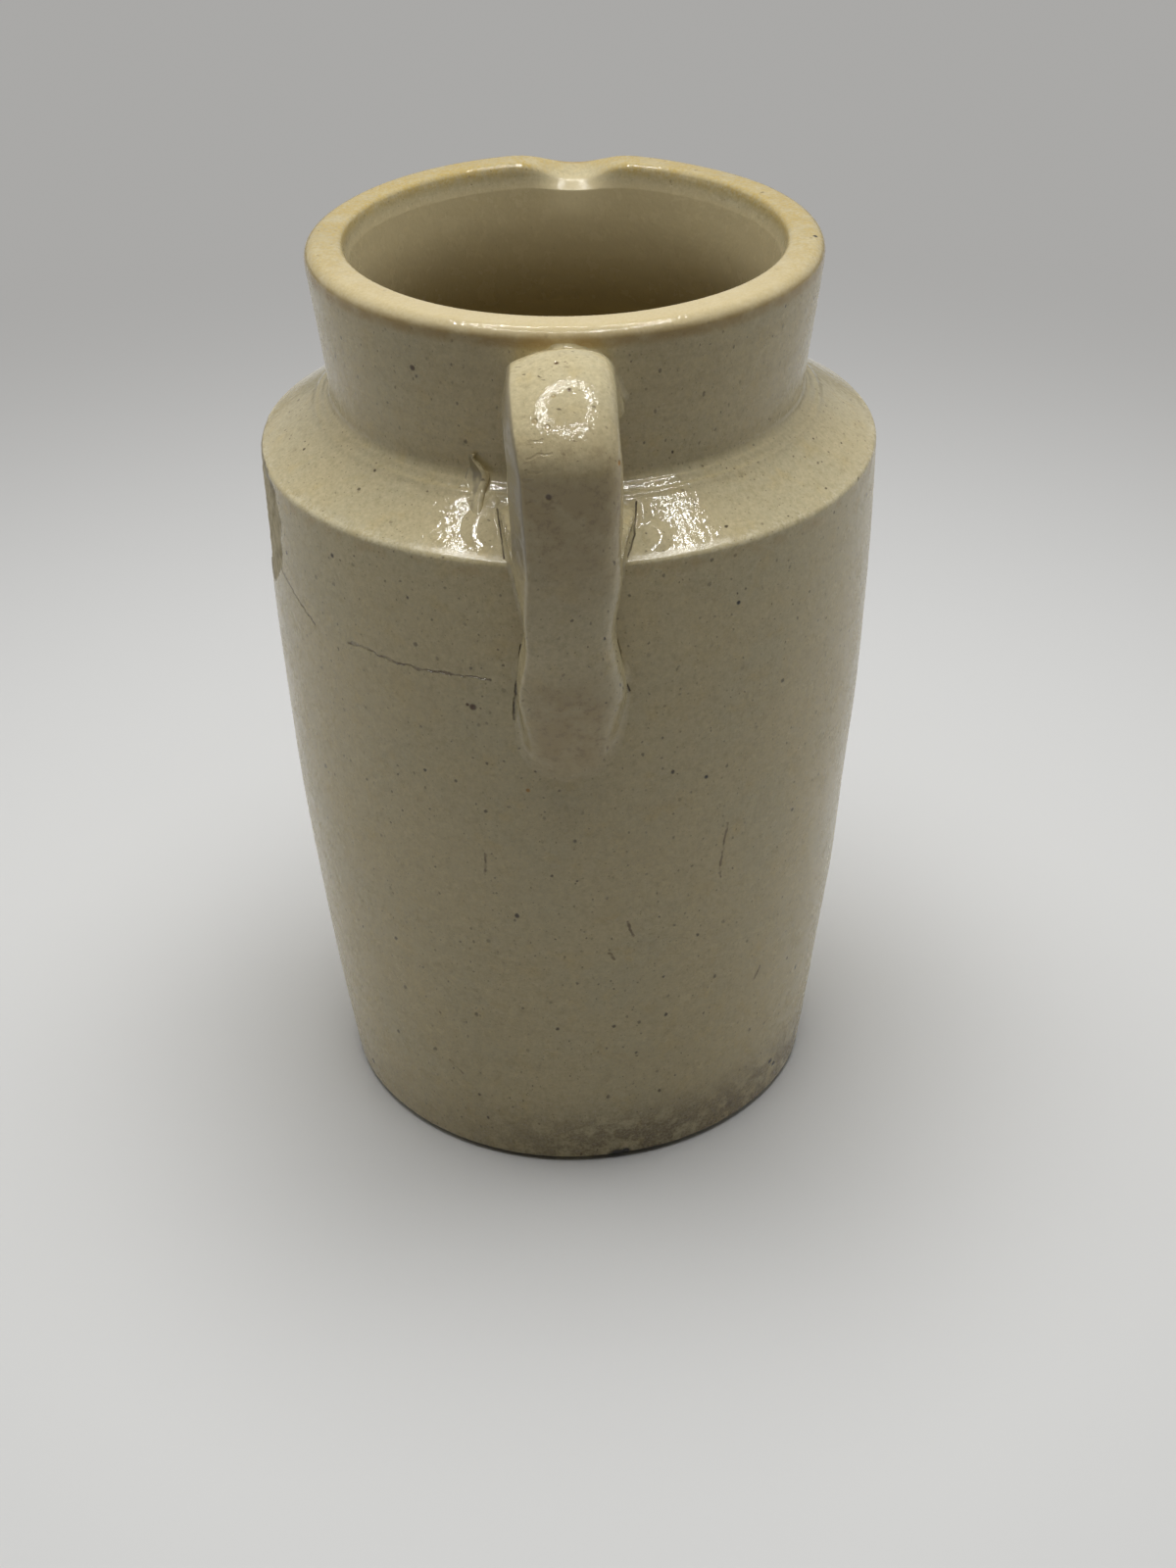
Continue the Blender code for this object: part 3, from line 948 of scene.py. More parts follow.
def group_cloud():
    """The fired cream colour, drifting between a cool and a warm cream, with a fine grain."""
    tree, given, result = new_group(
        "glaze_cloud",
        (("Point", "Vector"), ("Cream", "Color"), ("Cool", "Color"), ("Warm", "Color")),
        (("Color", "Color"),),
    )
    point = given["Point"]
    drift = grain(tree, point, *DRIFT)
    blotch = grain(tree, vector_calc(tree, "ADD", point, BLOTCH_SHIFT), *BLOTCH)
    mottle = grain(tree, vector_calc(tree, "ADD", point, MOTTLE_SHIFT), *MOTTLE)
    colour = tint(tree, ramp(tree, drift, *DRIFT_SHARE), given["Cream"], given["Cool"])
    colour = tint(tree, ramp(tree, blotch, *BLOTCH_SHARE), colour, given["Warm"])
    colour = coat(tree, colour, MOTTLE_BROWN, (mottle, MOTTLE_SHARE))
    shade = put(tree, "MapRange", {"Value": grain(tree, point, *FINE_GRAIN), **FINE_SHADE}).outputs[0]
    grey = put(tree, "CombineColor", {name: shade for name in ("Red", "Green", "Blue")}).outputs["Color"]
    tree.links.new(tint(tree, 1.0, colour, grey, "MULTIPLY"), result["Color"])
    return tree


def group_peel():
    """The skin of the glaze: soft waves and a finer orange peel, as a height in millimetres."""
    tree, given, result = new_group(
        "orange_peel",
        (("Point", "Vector"), ("Wave", "Float"), ("Peel", "Float")),
        (("Height", "Float"),),
    )
    wave = calc(tree, "MULTIPLY", grain(tree, given["Point"], *SKIN_WAVE), given["Wave"])
    height = calc(tree, "MULTIPLY_ADD", grain(tree, given["Point"], *SKIN_PEEL), given["Peel"], wave)
    tree.links.new(height, result["Height"])
    return tree


def group_hairline():
    """Distance from a point to one straight run of a crack."""
    tree, given, result = new_group(
        "hairline",
        (("Point", "Vector"), ("Start", "Vector"), ("End", "Vector")),
        (("Distance", "Float"),),
    )
    run = vector_calc(tree, "SUBTRACT", given["End"], given["Start"])
    away = vector_calc(tree, "SUBTRACT", given["Point"], given["Start"])
    along = vector_calc(tree, "DOT_PRODUCT", away, run)
    part = calc(tree, "DIVIDE", along, vector_calc(tree, "DOT_PRODUCT", run, run))
    part = put(tree, "Clamp", {"Value": part}).outputs[0]
    reached = put(tree, "VectorMath", {0: run, "Scale": part}, operation="SCALE").outputs["Vector"]
    gap = vector_calc(tree, "LENGTH", vector_calc(tree, "SUBTRACT", away, reached))
    tree.links.new(gap, result["Distance"])
    return tree


def group_blemish():
    """A round spot about one place."""
    tree, given, result = new_group(
        "blemish",
        (("Point", "Vector"), ("Place", "Vector"), ("Radius", "Float")),
        (("Mask", "Float"),),
    )
    away = vector_calc(tree, "LENGTH", vector_calc(tree, "SUBTRACT", given["Point"], given["Place"]))
    tree.links.new(ramp(tree, calc(tree, "DIVIDE", away, given["Radius"]), *SPOT_EDGE), result["Mask"])
    return tree


def on_pot(turn, height, proud=0.0):
    """A place on the pot's outside, in millimetres, from degrees off the handle and a height."""
    reach = skin_radius(height * MM) / MM + proud
    angle = math.radians(turn)
    return (reach * math.sin(angle), -reach * math.cos(angle), height)


def crack_mask(tree, point, lines, width, shake, least=0.3):
    """Dark wherever the point lies on a crack line; the line wanders and fades here and there."""
    wander = put(tree, "TexNoise", {"Vector": point, **CRACK_WANDER}).outputs["Color"]
    wander = vector_calc(tree, "SUBTRACT", wander, MIDDLE_GREY)
    shaken = vector_calc(tree, "MULTIPLY_ADD", wander, shake, point)
    nearest = None
    for line in lines:
        for start, end in zip(line, line[1:]):
            away = use(tree, GROUPS["hairline"], point=shaken, start=start, end=end)
            nearest = away if nearest is None else calc(tree, "MINIMUM", nearest, away)
    fade = grain(tree, point, *CRACK_FADE)
    return masked(tree, (nearest, (width, CRACK_CORE * width)), (fade, (*CRACK_FADE_SHARE, least, 1.0)))


def stain(tree, point, spots, colour):
    """Paints (place, radius, colour) spots over a colour."""
    for place, radius, paint in spots:
        mask = use(tree, GROUPS["blemish"], point=point, place=place, radius=radius)
        colour = coat(tree, colour, paint, mask)
    return colour


def start_material(name):
    material = bpy.data.materials.new(name)
    material.use_nodes = True
    tree = material.node_tree
    point = put(tree, "TexCoord").outputs["Object"]
    point = put(tree, "VectorMath", {0: point, "Scale": 1 / MM}, operation="SCALE").outputs["Vector"]
    return material, tree, point, tree.nodes["Principled BSDF"]


def glaze_colour(tree, point, spread):
    """The cream, with specks strewn over a flattened layout of the piece."""
    cream = {"cream": (*CREAM, 1), "cool": (*COOL_CREAM, 1), "warm": (*WARM_CREAM, 1)}
    colour = use(tree, GROUPS["cloud"], point=point, **cream)
    for spacing, size, share, strength in SPECKS:
        mask = use(tree, GROUPS["specks"], point=spread, spacing=spacing, size=size, share=share)
        colour = coat(tree, colour, SPECK, mask, strength)
    return colour


def seen_in_front(tree, split):
    """A point as the front view shows it, with its depth left out."""
    return put(tree, "CombineXYZ", {"X": split["X"], "Z": split["Z"]}).outputs[0]


def front_cracks(tree, split):
    """Cracks beside the strap, drawn as seen from the front."""
    mask = crack_mask(tree, seen_in_front(tree, split), CRACKS, *FRONT_CRACK)
    front = calc(tree, "LESS_THAN", split["Y"], FRONT_SIDE / MM)
    behind = calc(tree, "GREATER_THAN", split["Y"], PROUD_SIDE / MM)
    return masked(tree, mask, front, behind)


def drag_marks(tree, split, lines):
    """Short drags of the finishing sponge across the strap's outer face, as seen from the front."""
    mask = crack_mask(tree, seen_in_front(tree, split), lines, *DRAG_LINE)
    return masked(tree, mask, calc(tree, "LESS_THAN", split["Y"], PROUD_SIDE / MM))


def finish_glaze(tree, shader, colour, rough, height):
    tree.links.new(colour, shader.inputs["Base Color"])
    tree.links.new(rough, shader.inputs["Roughness"])
    bump = put(tree, "Bump", {"Height": height, "Distance": MM})
    tree.links.new(bump.outputs["Normal"], shader.inputs["Normal"])


def scar_colour(tree, point, scar):
    """Bare ware in the flake scar, with dirt along its border."""
    streaked = put(tree, "Mapping", {"Vector": point, "Scale": BARE_STRETCH}).outputs[0]
    streak = ramp(tree, grain(tree, streaked, *BARE_STREAK), *BARE_SHARE)
    bare = tint(tree, streak, (*BARE_DARK, 1), (*BARE_PALE, 1))
    return coat(tree, bare, CRACK_DIRT, (scar, SCAR_RISE), (scar, SCAR_FALL))


def body_glaze():
    """Cream glaze of the pot: specked, ochre at the rim and the shoulder's edge, soiled at the foot, with
    painted light and shade inside and a painted highlight on the near rim.
    """
    material, tree, point, shader = start_material("cream_glaze")
    split = put(tree, "SeparateXYZ", {"Vector": point}).outputs
    height = split["Z"]
    radius = vector_calc(tree, "LENGTH", flat_point(tree, split["X"], split["Y"]))
    turn = calc(tree, "ARCTAN2", split["X"], calc(tree, "MULTIPLY", split["Y"], -1.0))
    around = calc(tree, "MULTIPLY", turn, UNROLL)
    unrolled = flat_point(tree, around, height)
    drop = calc(tree, "SUBTRACT", HEIGHT / MM, height)
    over = calc(tree, "SUBTRACT", masked(tree, drop, (radius, INNER_SIDE)), radius)
    colour = glaze_colour(tree, point, flat_point(tree, around, over))
    patchy = grain(tree, point, *PATCHES)
    sandy = grain(tree, point, *SAND)
    drawn = put(tree, "Mapping", {"Vector": unrolled, "Scale": THROWN_STRETCH}).outputs[0]
    drawn = grain(tree, drawn, *THROWN_STREAK)
    colour = coat(tree, colour, THROWN_BROWN, (drawn, THROWN_SHARE), (height, THROWN_RISE))

    rim = ramp(tree, height, *RIM_RISE)
    inside = ramp(tree, radius, *INSIDE)
    # Painted light: the inside below the mouth is lightened with a paler cream
    colour = coat(tree, colour, INSIDE_LIGHT_CREAM, (height, INSIDE_LIGHT_FALL), inside)
    # Painted shade: the inside grows darker and browner deeper down
    colour = coat(tree, colour, INSIDE_SHADE_BROWN, (height, INSIDE_SHADE_FALL), inside)
    # Painted highlight: the rim's top is paler on its near side
    colour = coat(tree, colour, NEAR_RIM_HIGHLIGHT, rim, (split["Y"], NEAR_HIGHLIGHT_SIDE))
    blush = masked(tree, rim, (split["Y"], FAR_SIDE), (patchy, BLUSH_PATCH), (sandy, BLUSH_SAND))
    colour = coat(tree, colour, RIM_OCHRE, blush)
    collar = masked(tree, (height, COLLAR_RISE), (height, COLLAR_FALL), (radius, COLLAR_OUT))
    colour = coat(tree, colour, COLLAR_OCHRE, collar, (patchy, COLLAR_PATCH))

    shoulder = masked(tree, (height, SHOULDER_RISE), (height, SHOULDER_FALL))
    fleck = calc(tree, "MULTIPLY", sandy, patchy)
    colour = coat(tree, colour, ARRIS_CREAM, (radius, ARRIS_OUT), (height, ARRIS_RISE), (fleck, ARRIS_FLECK))
    under = masked(tree, (height, UNDER_RISE), (height, UNDER_FALL), (patchy, UNDER_PATCH))
    colour = coat(tree, colour, COLLAR_OCHRE, under)

    right_front = calc(tree, "SUBTRACT", split["X"], split["Y"])
    soil = masked(tree, (grain(tree, point, *SOIL_CLOUD), SOIL_SHARE), (right_front, SOIL_SIDE))
    colour = coat(tree, colour, SOIL, soil, (height, SOIL_FALL), (sandy, SOIL_SAND))
    colour = stain(tree, point, BODY_SPOTS, colour)

    scratch = crack_mask(tree, unrolled, SCRATCHES, *SCRATCH_LINE)
    colour = coat(tree, colour, BROWN, scratch, SCRATCH_STRENGTH)
    hairline = crack_mask(tree, unrolled, BODY_CRACKS, *HAIRLINE)
    colour = coat(tree, colour, HAIRLINE_BROWN, hairline, HAIRLINE_STRENGTH)
    beside = front_cracks(tree, split)
    colour = coat(tree, colour, CRACK_DIRT, beside, BESIDE_STRENGTH)
    crack = calc(tree, "MAXIMUM", hairline, beside)
    scar = put(tree, "Attribute", attribute_name="scar").outputs["Fac"]
    colour = tint(tree, ramp(tree, scar, *SCAR_FACE), colour, scar_colour(tree, point, scar))

    rough = calc(tree, "MULTIPLY_ADD", scar, SCAR_ROUGH, ramp(tree, patchy, *BODY_SHINE))
    level = calc(tree, "MAXIMUM", shoulder, rim)
    level = calc(tree, "SUBTRACT", level, ramp(tree, radius, *LEVEL_END))
    level = calc(tree, "MAXIMUM", level, 0.0)
    rough = put(tree, "Mix", {0: level, 2: rough, 3: LEVEL_ROUGH}).outputs[0]
    peel = ramp(tree, height, *BODY_PEEL)
    skin = use(tree, GROUPS["peel"], point=point, wave=BODY_WAVE, peel=peel)
    grit = calc(tree, "MULTIPLY", grain(tree, point, *LEVEL_GRAIN), LEVEL_GRIT)
    skin = calc(tree, "MULTIPLY_ADD", level, grit, skin)
    skin = calc(tree, "MULTIPLY_ADD", crack, CRACK_BUMP, skin)
    finish_glaze(tree, shader, colour, rough, skin)
    return material


def handle_glaze(name, wave, peel, spots, drags=()):
    """Thinner, glossier glaze of the strap, with its drags, and of the slip, with its cracks, and painted
    shade on the strap's front, its terminal's middle and its left flank.
    """
    material, tree, point, shader = start_material(name)
    split = put(tree, "SeparateXYZ", {"Vector": point}).outputs
    height = split["Z"]
    aside = calc(tree, "MULTIPLY_ADD", split["Y"], STRAP_LAYOUT, split["X"])
    down = calc(tree, "ADD", height, split["Y"])
    colour = glaze_colour(tree, point, flat_point(tree, aside, down))
    # Brownish tint and painted shade: the strap's outer front and the middle of its terminal are darkened,
    # in clouds; the grime mottling lies only there
    held_and_shaded = masked(tree, (height, HELD_SHADE_RISE), (height, HELD_SHADE_FALL), (split["Y"], HELD_SHADE_FRONT))
    across = calc(tree, "ABSOLUTE", split["X"])
    rubbed = masked(tree, (height, RUBBED_SHADE_FALL), (height, RUBBED_SHADE_RISE), (across, RUBBED_SHADE_MIDDLE))
    held_and_shaded = calc(tree, "MAXIMUM", rubbed, held_and_shaded)
    held_and_shaded = masked(tree, held_and_shaded, (grain(tree, point, *HELD_SHADE_CLOUD), HELD_SHADE_SHARE))
    colour = coat(tree, colour, STRAP_BROWN, held_and_shaded)
    colour = coat(tree, colour, GRIME_BROWN, held_and_shaded, (grain(tree, point, *GRIME), GRIME_SHARE))
    # Painted shade: faces turned to the left, high on the handle, are darkened grey
    facing = put(tree, "SeparateXYZ", {"Vector": put(tree, "NewGeometry").outputs["Normal"]}).outputs
    colour = coat(tree, colour, FLANK_SHADE, (facing["X"], FLANK_SHADE_FACING), (height, FLANK_SHADE_RISE))
    colour = stain(tree, point, spots, colour)
    rough = ramp(tree, grain(tree, point, *PATCHES), *STRAP_SHINE)
    # The strap's drags are darkened a little as painted shade of their dents; the slip's cracks get dirt
    if drags:
        mark = drag_marks(tree, split, drags)
        dirt, strength, depth, grit = STRAP_MARK
    else:
        mark = front_cracks(tree, split)
        dirt, strength, depth, grit = SLIP_MARK
    colour = coat(tree, colour, dirt, mark, strength)
    skin = use(tree, GROUPS["peel"], point=point, wave=wave, peel=peel)
    skin = calc(tree, "MULTIPLY_ADD", grain(tree, point, *STRAP_GRAIN), grit, skin)
    skin = calc(tree, "MULTIPLY_ADD", mark, depth, skin)
    for place, radius, _ in spots:
        pit = use(tree, GROUPS["blemish"], point=point, place=place, radius=radius)
        skin = calc(tree, "MULTIPLY_ADD", pit, PIT_BUMP, skin)
    finish_glaze(tree, shader, colour, rough, skin)
    return material


# Fired colours, with colours of painted light and shade among them
CREAM = (0.56, 0.478, 0.282)
COOL_CREAM = (0.53, 0.465, 0.287)
WARM_CREAM = (0.55, 0.452, 0.24)
SPECK = (0.06, 0.038, 0.018)
RIM_OCHRE = (0.50, 0.37, 0.125)
COLLAR_OCHRE = (0.40, 0.28, 0.11)
ARRIS_CREAM = (0.72, 0.66, 0.47)
SOIL = (0.20, 0.15, 0.08)
CRACK_DIRT = (0.05, 0.03, 0.014)
BARE_DARK = (0.29, 0.24, 0.135)
BARE_PALE = (0.52, 0.455, 0.29)
# Brown of the strap: its tint and painted shade at the front, and some of its spots
STRAP_BROWN = (0.44, 0.345, 0.178)
GRIME_BROWN = (0.24, 0.18, 0.095)
THROWN_BROWN = (0.38, 0.31, 0.17)
MOTTLE_BROWN = (0.41, 0.34, 0.19)
# Painted light and painted shade of the inside
INSIDE_LIGHT_CREAM = (0.68, 0.575, 0.34)
INSIDE_SHADE_BROWN = (0.34, 0.255, 0.10)
# Painted highlight of the near rim
NEAR_RIM_HIGHLIGHT = (0.69, 0.58, 0.35)
# Painted shade of the strap's left flank
FLANK_SHADE = (0.29, 0.245, 0.15)
HAIRLINE_BROWN = (0.12, 0.075, 0.035)

# Iron specks: spacing and size in millimetres, the share of places that have one, and their strength
SPECKS = ((0.8, 0.14, 0.55, 0.5), (1.7, 0.22, 0.5, 0.75), (3.2, 0.34, 0.4, 1.0))
# Their ragged borders, and how their sizes and strengths vary: by how much, from the least
SPECK_RAG = {"Scale": 3.0, "Detail": 2.0}
SPECK_SHAKE = (0.3, 0.3, 0.0)
SPECK_SIZES = (0.75, 0.25)
SPECK_STRENGTHS = (0.7, 0.3)
# From a spot's border to where it is full, as shares of its radius, and the mean of coloured noise
SPOT_EDGE = (1.0, 0.4)
MIDDLE_GREY = (0.5, 0.5, 0.5)

# Noise of the finishes: scale per millimetre, detail and, where it isn't 0.5, roughness
PATCHES = (0.5, 4.0, 0.6)
SAND = (3.4, 2.0, 0.6)
DRIFT = (0.11, 4.0, 0.6)
BLOTCH = (0.34, 3.0, 0.55)
BLOTCH_SHIFT = (40.0, 7.0, 3.0)
MOTTLE = (1.1, 4.0, 0.7)
MOTTLE_SHIFT = (9.0, 50.0, 21.0)
FINE_GRAIN = (2.6, 3.0, 0.65)
FINE_SHADE = {"From Min": 0.25, "From Max": 0.75, "To Min": 0.86, "To Max": 1.14}
THROWN_STREAK = (1.0, 4.0, 0.6)
THROWN_STRETCH = (0.05, 1.1, 1.0)
BARE_STREAK = (1.1, 5.0, 0.7)
BARE_STRETCH = (1.0, 1.0, 0.55)
SOIL_CLOUD = (0.5, 5.0, 0.75)
HELD_SHADE_CLOUD = (0.45, 4.0, 0.6)
GRIME = (0.9, 5.0, 0.75)
SKIN_WAVE = (0.55, 2.0)
SKIN_PEEL = (2.3, 2.0, 0.6)
LEVEL_GRAIN = (1.5, 2.0)
STRAP_GRAIN = (1.6, 2.0)

# Smooth steps of the finishes by noise: from, to and, where they aren't 0 and 1, the two results
DRIFT_SHARE = (0.40, 0.70)
BLOTCH_SHARE = (0.52, 0.80)
MOTTLE_SHARE = (0.48, 0.74, 0.0, 0.6)
THROWN_SHARE = (0.45, 0.72)
BLUSH_PATCH = (0.3, 0.58, 0.3, 1.0)
BLUSH_SAND = (0.35, 0.6, 0.35, 1.0)
COLLAR_PATCH = (0.3, 0.6, 0.4, 0.9)
ARRIS_FLECK = (0.22, 0.34, 0.0, 0.45)
UNDER_PATCH = (0.42, 0.68, 0.0, 0.5)
SOIL_SHARE = (0.37, 0.55, 0.0, 0.95)
SOIL_SAND = (0.3, 0.6, 0.4, 1.0)
BARE_SHARE = (0.36, 0.62)
BODY_SHINE = (0.3, 0.7, 0.2, 0.3)
STRAP_SHINE = (0.3, 0.7, 0.04, 0.07)
HELD_SHADE_SHARE = (0.3, 0.6, 0.5, 1.0)
GRIME_SHARE = (0.5, 0.68, 0.0, 0.55)

# The same by height, radius or place in millimetres
INNER_SIDE = (23.1, 22.9, -1.0, 1.0)
INSIDE = (23.1, 22.6)
THROWN_RISE = (76.0, 82.0, 0.12, 0.26)
# Painted light and shade of the inside, by height
INSIDE_LIGHT_FALL = (94.0, 92.5, 0.0, 0.8)
INSIDE_SHADE_FALL = (86.5, 79.0)
RIM_RISE = (93.5, 94.6)
NEAR_HIGHLIGHT_SIDE = (2.0, -20.0, 0.0, 0.8)
FAR_SIDE = (-22.0, 6.0, 0.25, 1.0)
COLLAR_RISE = (92.7, 93.6)
COLLAR_FALL = (94.7, 93.9)
COLLAR_OUT = (24.4, 24.8)
SHOULDER_RISE = (74.2, 75.2)
SHOULDER_FALL = (80.4, 79.0)
ARRIS_OUT = (29.6, 30.7)
ARRIS_RISE = (73.9, 74.6)
UNDER_RISE = (72.6, 74.0)
UNDER_FALL = (74.7, 74.2)
SOIL_SIDE = (5.0, 32.0, 0.2, 1.0)
SOIL_FALL = (10.5, 2.5)
LEVEL_END = (29.9, 30.6)
BODY_PEEL = (79.0, 82.0, 0.012, 0.02)
# Where the brownish tint and painted shade lie: the strap's outer front and its terminal's middle
HELD_SHADE_RISE = (70.0, 84.0)
HELD_SHADE_FALL = (94.0, 84.0)
HELD_SHADE_FRONT = (-32.0, -38.0)
RUBBED_SHADE_FALL = (68.0, 62.0)
RUBBED_SHADE_RISE = (50.0, 56.0)
RUBBED_SHADE_MIDDLE = (5.0, 2.0)
FLANK_SHADE_RISE = (76.0, 80.0)

# The same by the flake scar's depth and by the way a face looks
SCAR_RISE = (0.02, 0.2, 0.0, 0.5)
SCAR_FALL = (0.7, 0.4)
SCAR_FACE = (0.05, 0.3)
FLANK_SHADE_FACING = (-0.55, -0.75)

# Lines: width in millimetres, how far they wander and, for some, what is left of them where they fade
SCRATCH_LINE = (0.2, (0.8, 0.8, 0.0))
HAIRLINE = (0.17, (0.9, 0.9, 0.0), 0.55)
FRONT_CRACK = (0.12, (0.5, 0.0, 0.5), 0.6)
DRAG_LINE = (0.16, (0.9, 0.0, 0.9))
CRACK_WANDER = {"Scale": 0.9, "Detail": 3.0}
CRACK_FADE = (0.8, 2.0)
CRACK_FADE_SHARE = (0.36, 0.56)
CRACK_CORE = 0.3
SCRATCH_STRENGTH = 0.75
HAIRLINE_STRENGTH = 0.8
BESIDE_STRENGTH = 0.85

# Skin of the glaze: heights in millimetres, and roughness
BODY_WAVE = 0.04
LEVEL_GRIT = 0.05
LEVEL_ROUGH = 0.04
SCAR_ROUGH = 0.4
CRACK_BUMP = -0.12
PIT_BUMP = -0.05
# Marks of the strap and of the slip: their colour (painted shade in the strap's drags, dirt in the slip's
# cracks), its strength, their depth, and the grit of the glaze
STRAP_MARK = (HAIRLINE_BROWN, 0.15, -0.03, 0.05)
SLIP_MARK = (CRACK_DIRT, 0.9, CRACK_BUMP, 0.015)

# Radius at which the pot's wall is unrolled for its lines, in millimetres
UNROLL = 31.0
# How much a place's depth counts sideways where the strap is flattened for its specks
STRAP_LAYOUT = 0.6


def unrolled_line(*places):
    """Places on the unrolled wall, from degrees off the handle and heights."""
    return [(math.radians(turn) * UNROLL, height, 0.0) for turn, height in places]


# Cracks and scratches of the wall
BODY_CRACKS = (
    unrolled_line((-70, 66.0), (-67.7, 65.4), (-63.6, 64.9), (-60.2, 64.1), (-57.3, 63.4), (-53.3, 62.4)),
    unrolled_line(
        (-43.5, 62.7), (-39.6, 62.9), (-36.2, 62.8), (-31.8, 62.5), (-26.8, 62.5), (-21.1, 62.7), (-14, 62.6)
    ),
)
SCRATCHES = (
    unrolled_line((-16.7, 42.2), (-17.2, 39.7)),
    unrolled_line((30.8, 43.6), (29.9, 40.2), (29.6, 38.4), (29.9, 37.0)),
    unrolled_line((10.2, 34.0), (11.8, 32.0)),
    unrolled_line((6.8, 30.0), (8.0, 29.2)),
    unrolled_line((43.8, 22.0), (42.4, 20.4)),
    unrolled_line((-30.0, 12.4), (-27.0, 11.0)),
)

# Cracks beside the strap and its slip, as seen from the front
CRACKS = (
    [(-4.45, 0, 66.6), (-4.7, 0, 64.5), (-5.0, 0, 62.3), (-5.33, 0, 60.0), (-5.37, 0, 58.4)],
    [(4.33, 0, 67.1), (4.68, 0, 65.4), (5.04, 0, 63.1), (5.49, 0, 61.5)],
    [(-6.4, 0, 77.9), (-6.2, 0, 77.1), (-6.05, 0, 76.4), (-5.75, 0, 75.2)],
    [(6.3, 0, 78.2), (6.2, 0, 77.2), (6.1, 0, 76.3), (5.45, 0, 75.2)],
)
STRAP_DRAGS = (
    [(-3.3, 0, 88.4), (-2.5, 0, 88.8), (-1.2, 0, 89.05)],
    [(-3.45, 0, 85.9), (-2.5, 0, 86.05)],
    [(-3.2, 0, 87.4), (-2.1, 0, 87.65)],
    [(-3.05, 0, 89.7), (-2.0, 0, 90.0)],
    [(-3.5, 0, 86.7), (-2.9, 0, 86.8)],
    [(-3.4, 0, 84.6), (-2.6, 0, 84.75)],
    [(-2.4, 0, 83.8), (-1.6, 0, 83.9)],
    [(-4.7, 0, 65.2), (-4.6, 0, 64.5), (-4.3, 0, 63.9), (-3.9, 0, 63.7)],
)

# Single marks: place and radius in millimetres, and colour
BROWN = (0.10, 0.05, 0.015)
BLACK = (0.02, 0.018, 0.015)
ORANGE = (0.40, 0.20, 0.03)
BODY_SPOTS = (
    (on_pot(-17.4, 59.3), 0.5, BROWN),
    (on_pot(-18.4, 59.5), 0.25, BROWN),
    (on_pot(30.6, 68.6), 0.3, BLACK),
    (on_pot(25.4, 50.0), 0.3, BLACK),
    (on_pot(-8.0, 50.4), 0.3, ORANGE),
    (on_pot(-2.4, 51.8), 0.3, BLACK),
    (on_pot(-34.1, 89.7), 0.4, BROWN),
    ((24.0, -2.1, 95.1), 0.35, BLACK),
    (on_pot(9.4, 0.4), 1.3, BLACK),
    (on_pot(11.5, 0.8), 0.8, BLACK),
    (on_pot(40.0, 2.7), 0.7, SOIL),
    (on_pot(55.0, 4.9), 0.5, BLACK),
    (on_pot(57.0, 3.9), 0.45, BLACK),
    (on_pot(-63.0, 3.1), 0.5, BROWN),
)
STRAP_SPOTS = (
    ((-0.67, -30.4, 93.9), 0.35, BROWN),
    ((0.08, -30.3, 93.95), 0.26, BROWN),
    ((1.78, -29.2, 93.95), 0.3, STRAP_BROWN),
    ((0.4, -33.8, 92.9), 0.32, BROWN),
    ((-0.93, -34.3, 92.6), 0.28, STRAP_BROWN),
    ((-2.6, -36.0, 91.1), 0.4, STRAP_BROWN),
    ((-1.5, -36.6, 90.8), 0.35, STRAP_BROWN),
    ((3.6, -37.5, 88.3), 0.3, BROWN),
    ((4.5, -36.9, 87.6), 0.35, ORANGE),
    ((-1.5, -38.75, 85.3), 0.4, HAIRLINE_BROWN),
    ((-1.66, -36.4, 67.5), 0.26, BLACK),
    ((3.34, -34.2, 62.3), 0.26, BLACK),
)
TERMINAL_SPOTS = (
    ((2.0, -33.8, 59.2), 0.35, HAIRLINE_BROWN),
    ((-1.5, -31.1, 53.2), 0.3, BLACK),
    ((-3.5, -30.3, 52.6), 0.26, BROWN),
)

GROUPS = {
    "specks": group_specks(),
    "cloud": group_cloud(),
    "peel": group_peel(),
    "hairline": group_hairline(),
    "blemish": group_blemish(),
}


# Camera as fitted to the photo: focal length and picture height in pixels, film, place and turn
FOCAL_PIXELS = 2450
PICTURE_PIXELS = 1600
FILM = 36.0
CAMERA_PLACE = Vector((1.54, -224.29, 173.22)) * MM
CAMERA_PITCH = math.radians(32.165)
CAMERA_ROLL = math.radians(-0.764)

# Studio: the paper, what it throws back and where it ends, the lamps and the air
PAPER = (0.69, 0.69, 0.68)
PAPER_BOUNCE = (0.68, 0.66, 0.62)
PAPER_ROUGH = 0.9
PAPER_END = (0.08, 0.27)
PAPER_SIZE = 3.0
KEY_PLACE = (0, 0.01, 0.52)
KEY_AIM = (0, 0.01, 0)
KEY_POWER = 2.5
SIDE_PLACE = (0.5, 0.2, 0.16)
SIDE_AIM = (0, 0, 0.05)
SIDE_POWER = 0.66
LAMP_SIZE = 0.4
RING_PLACE = (0, -0.07, 0.49)
RING_RADIUS = 0.18
RING_TUBE = 0.0036
RING_GLOW = 66.0
AIR = (0.40, 0.395, 0.385)
AIR_BOUNCE = 0.09


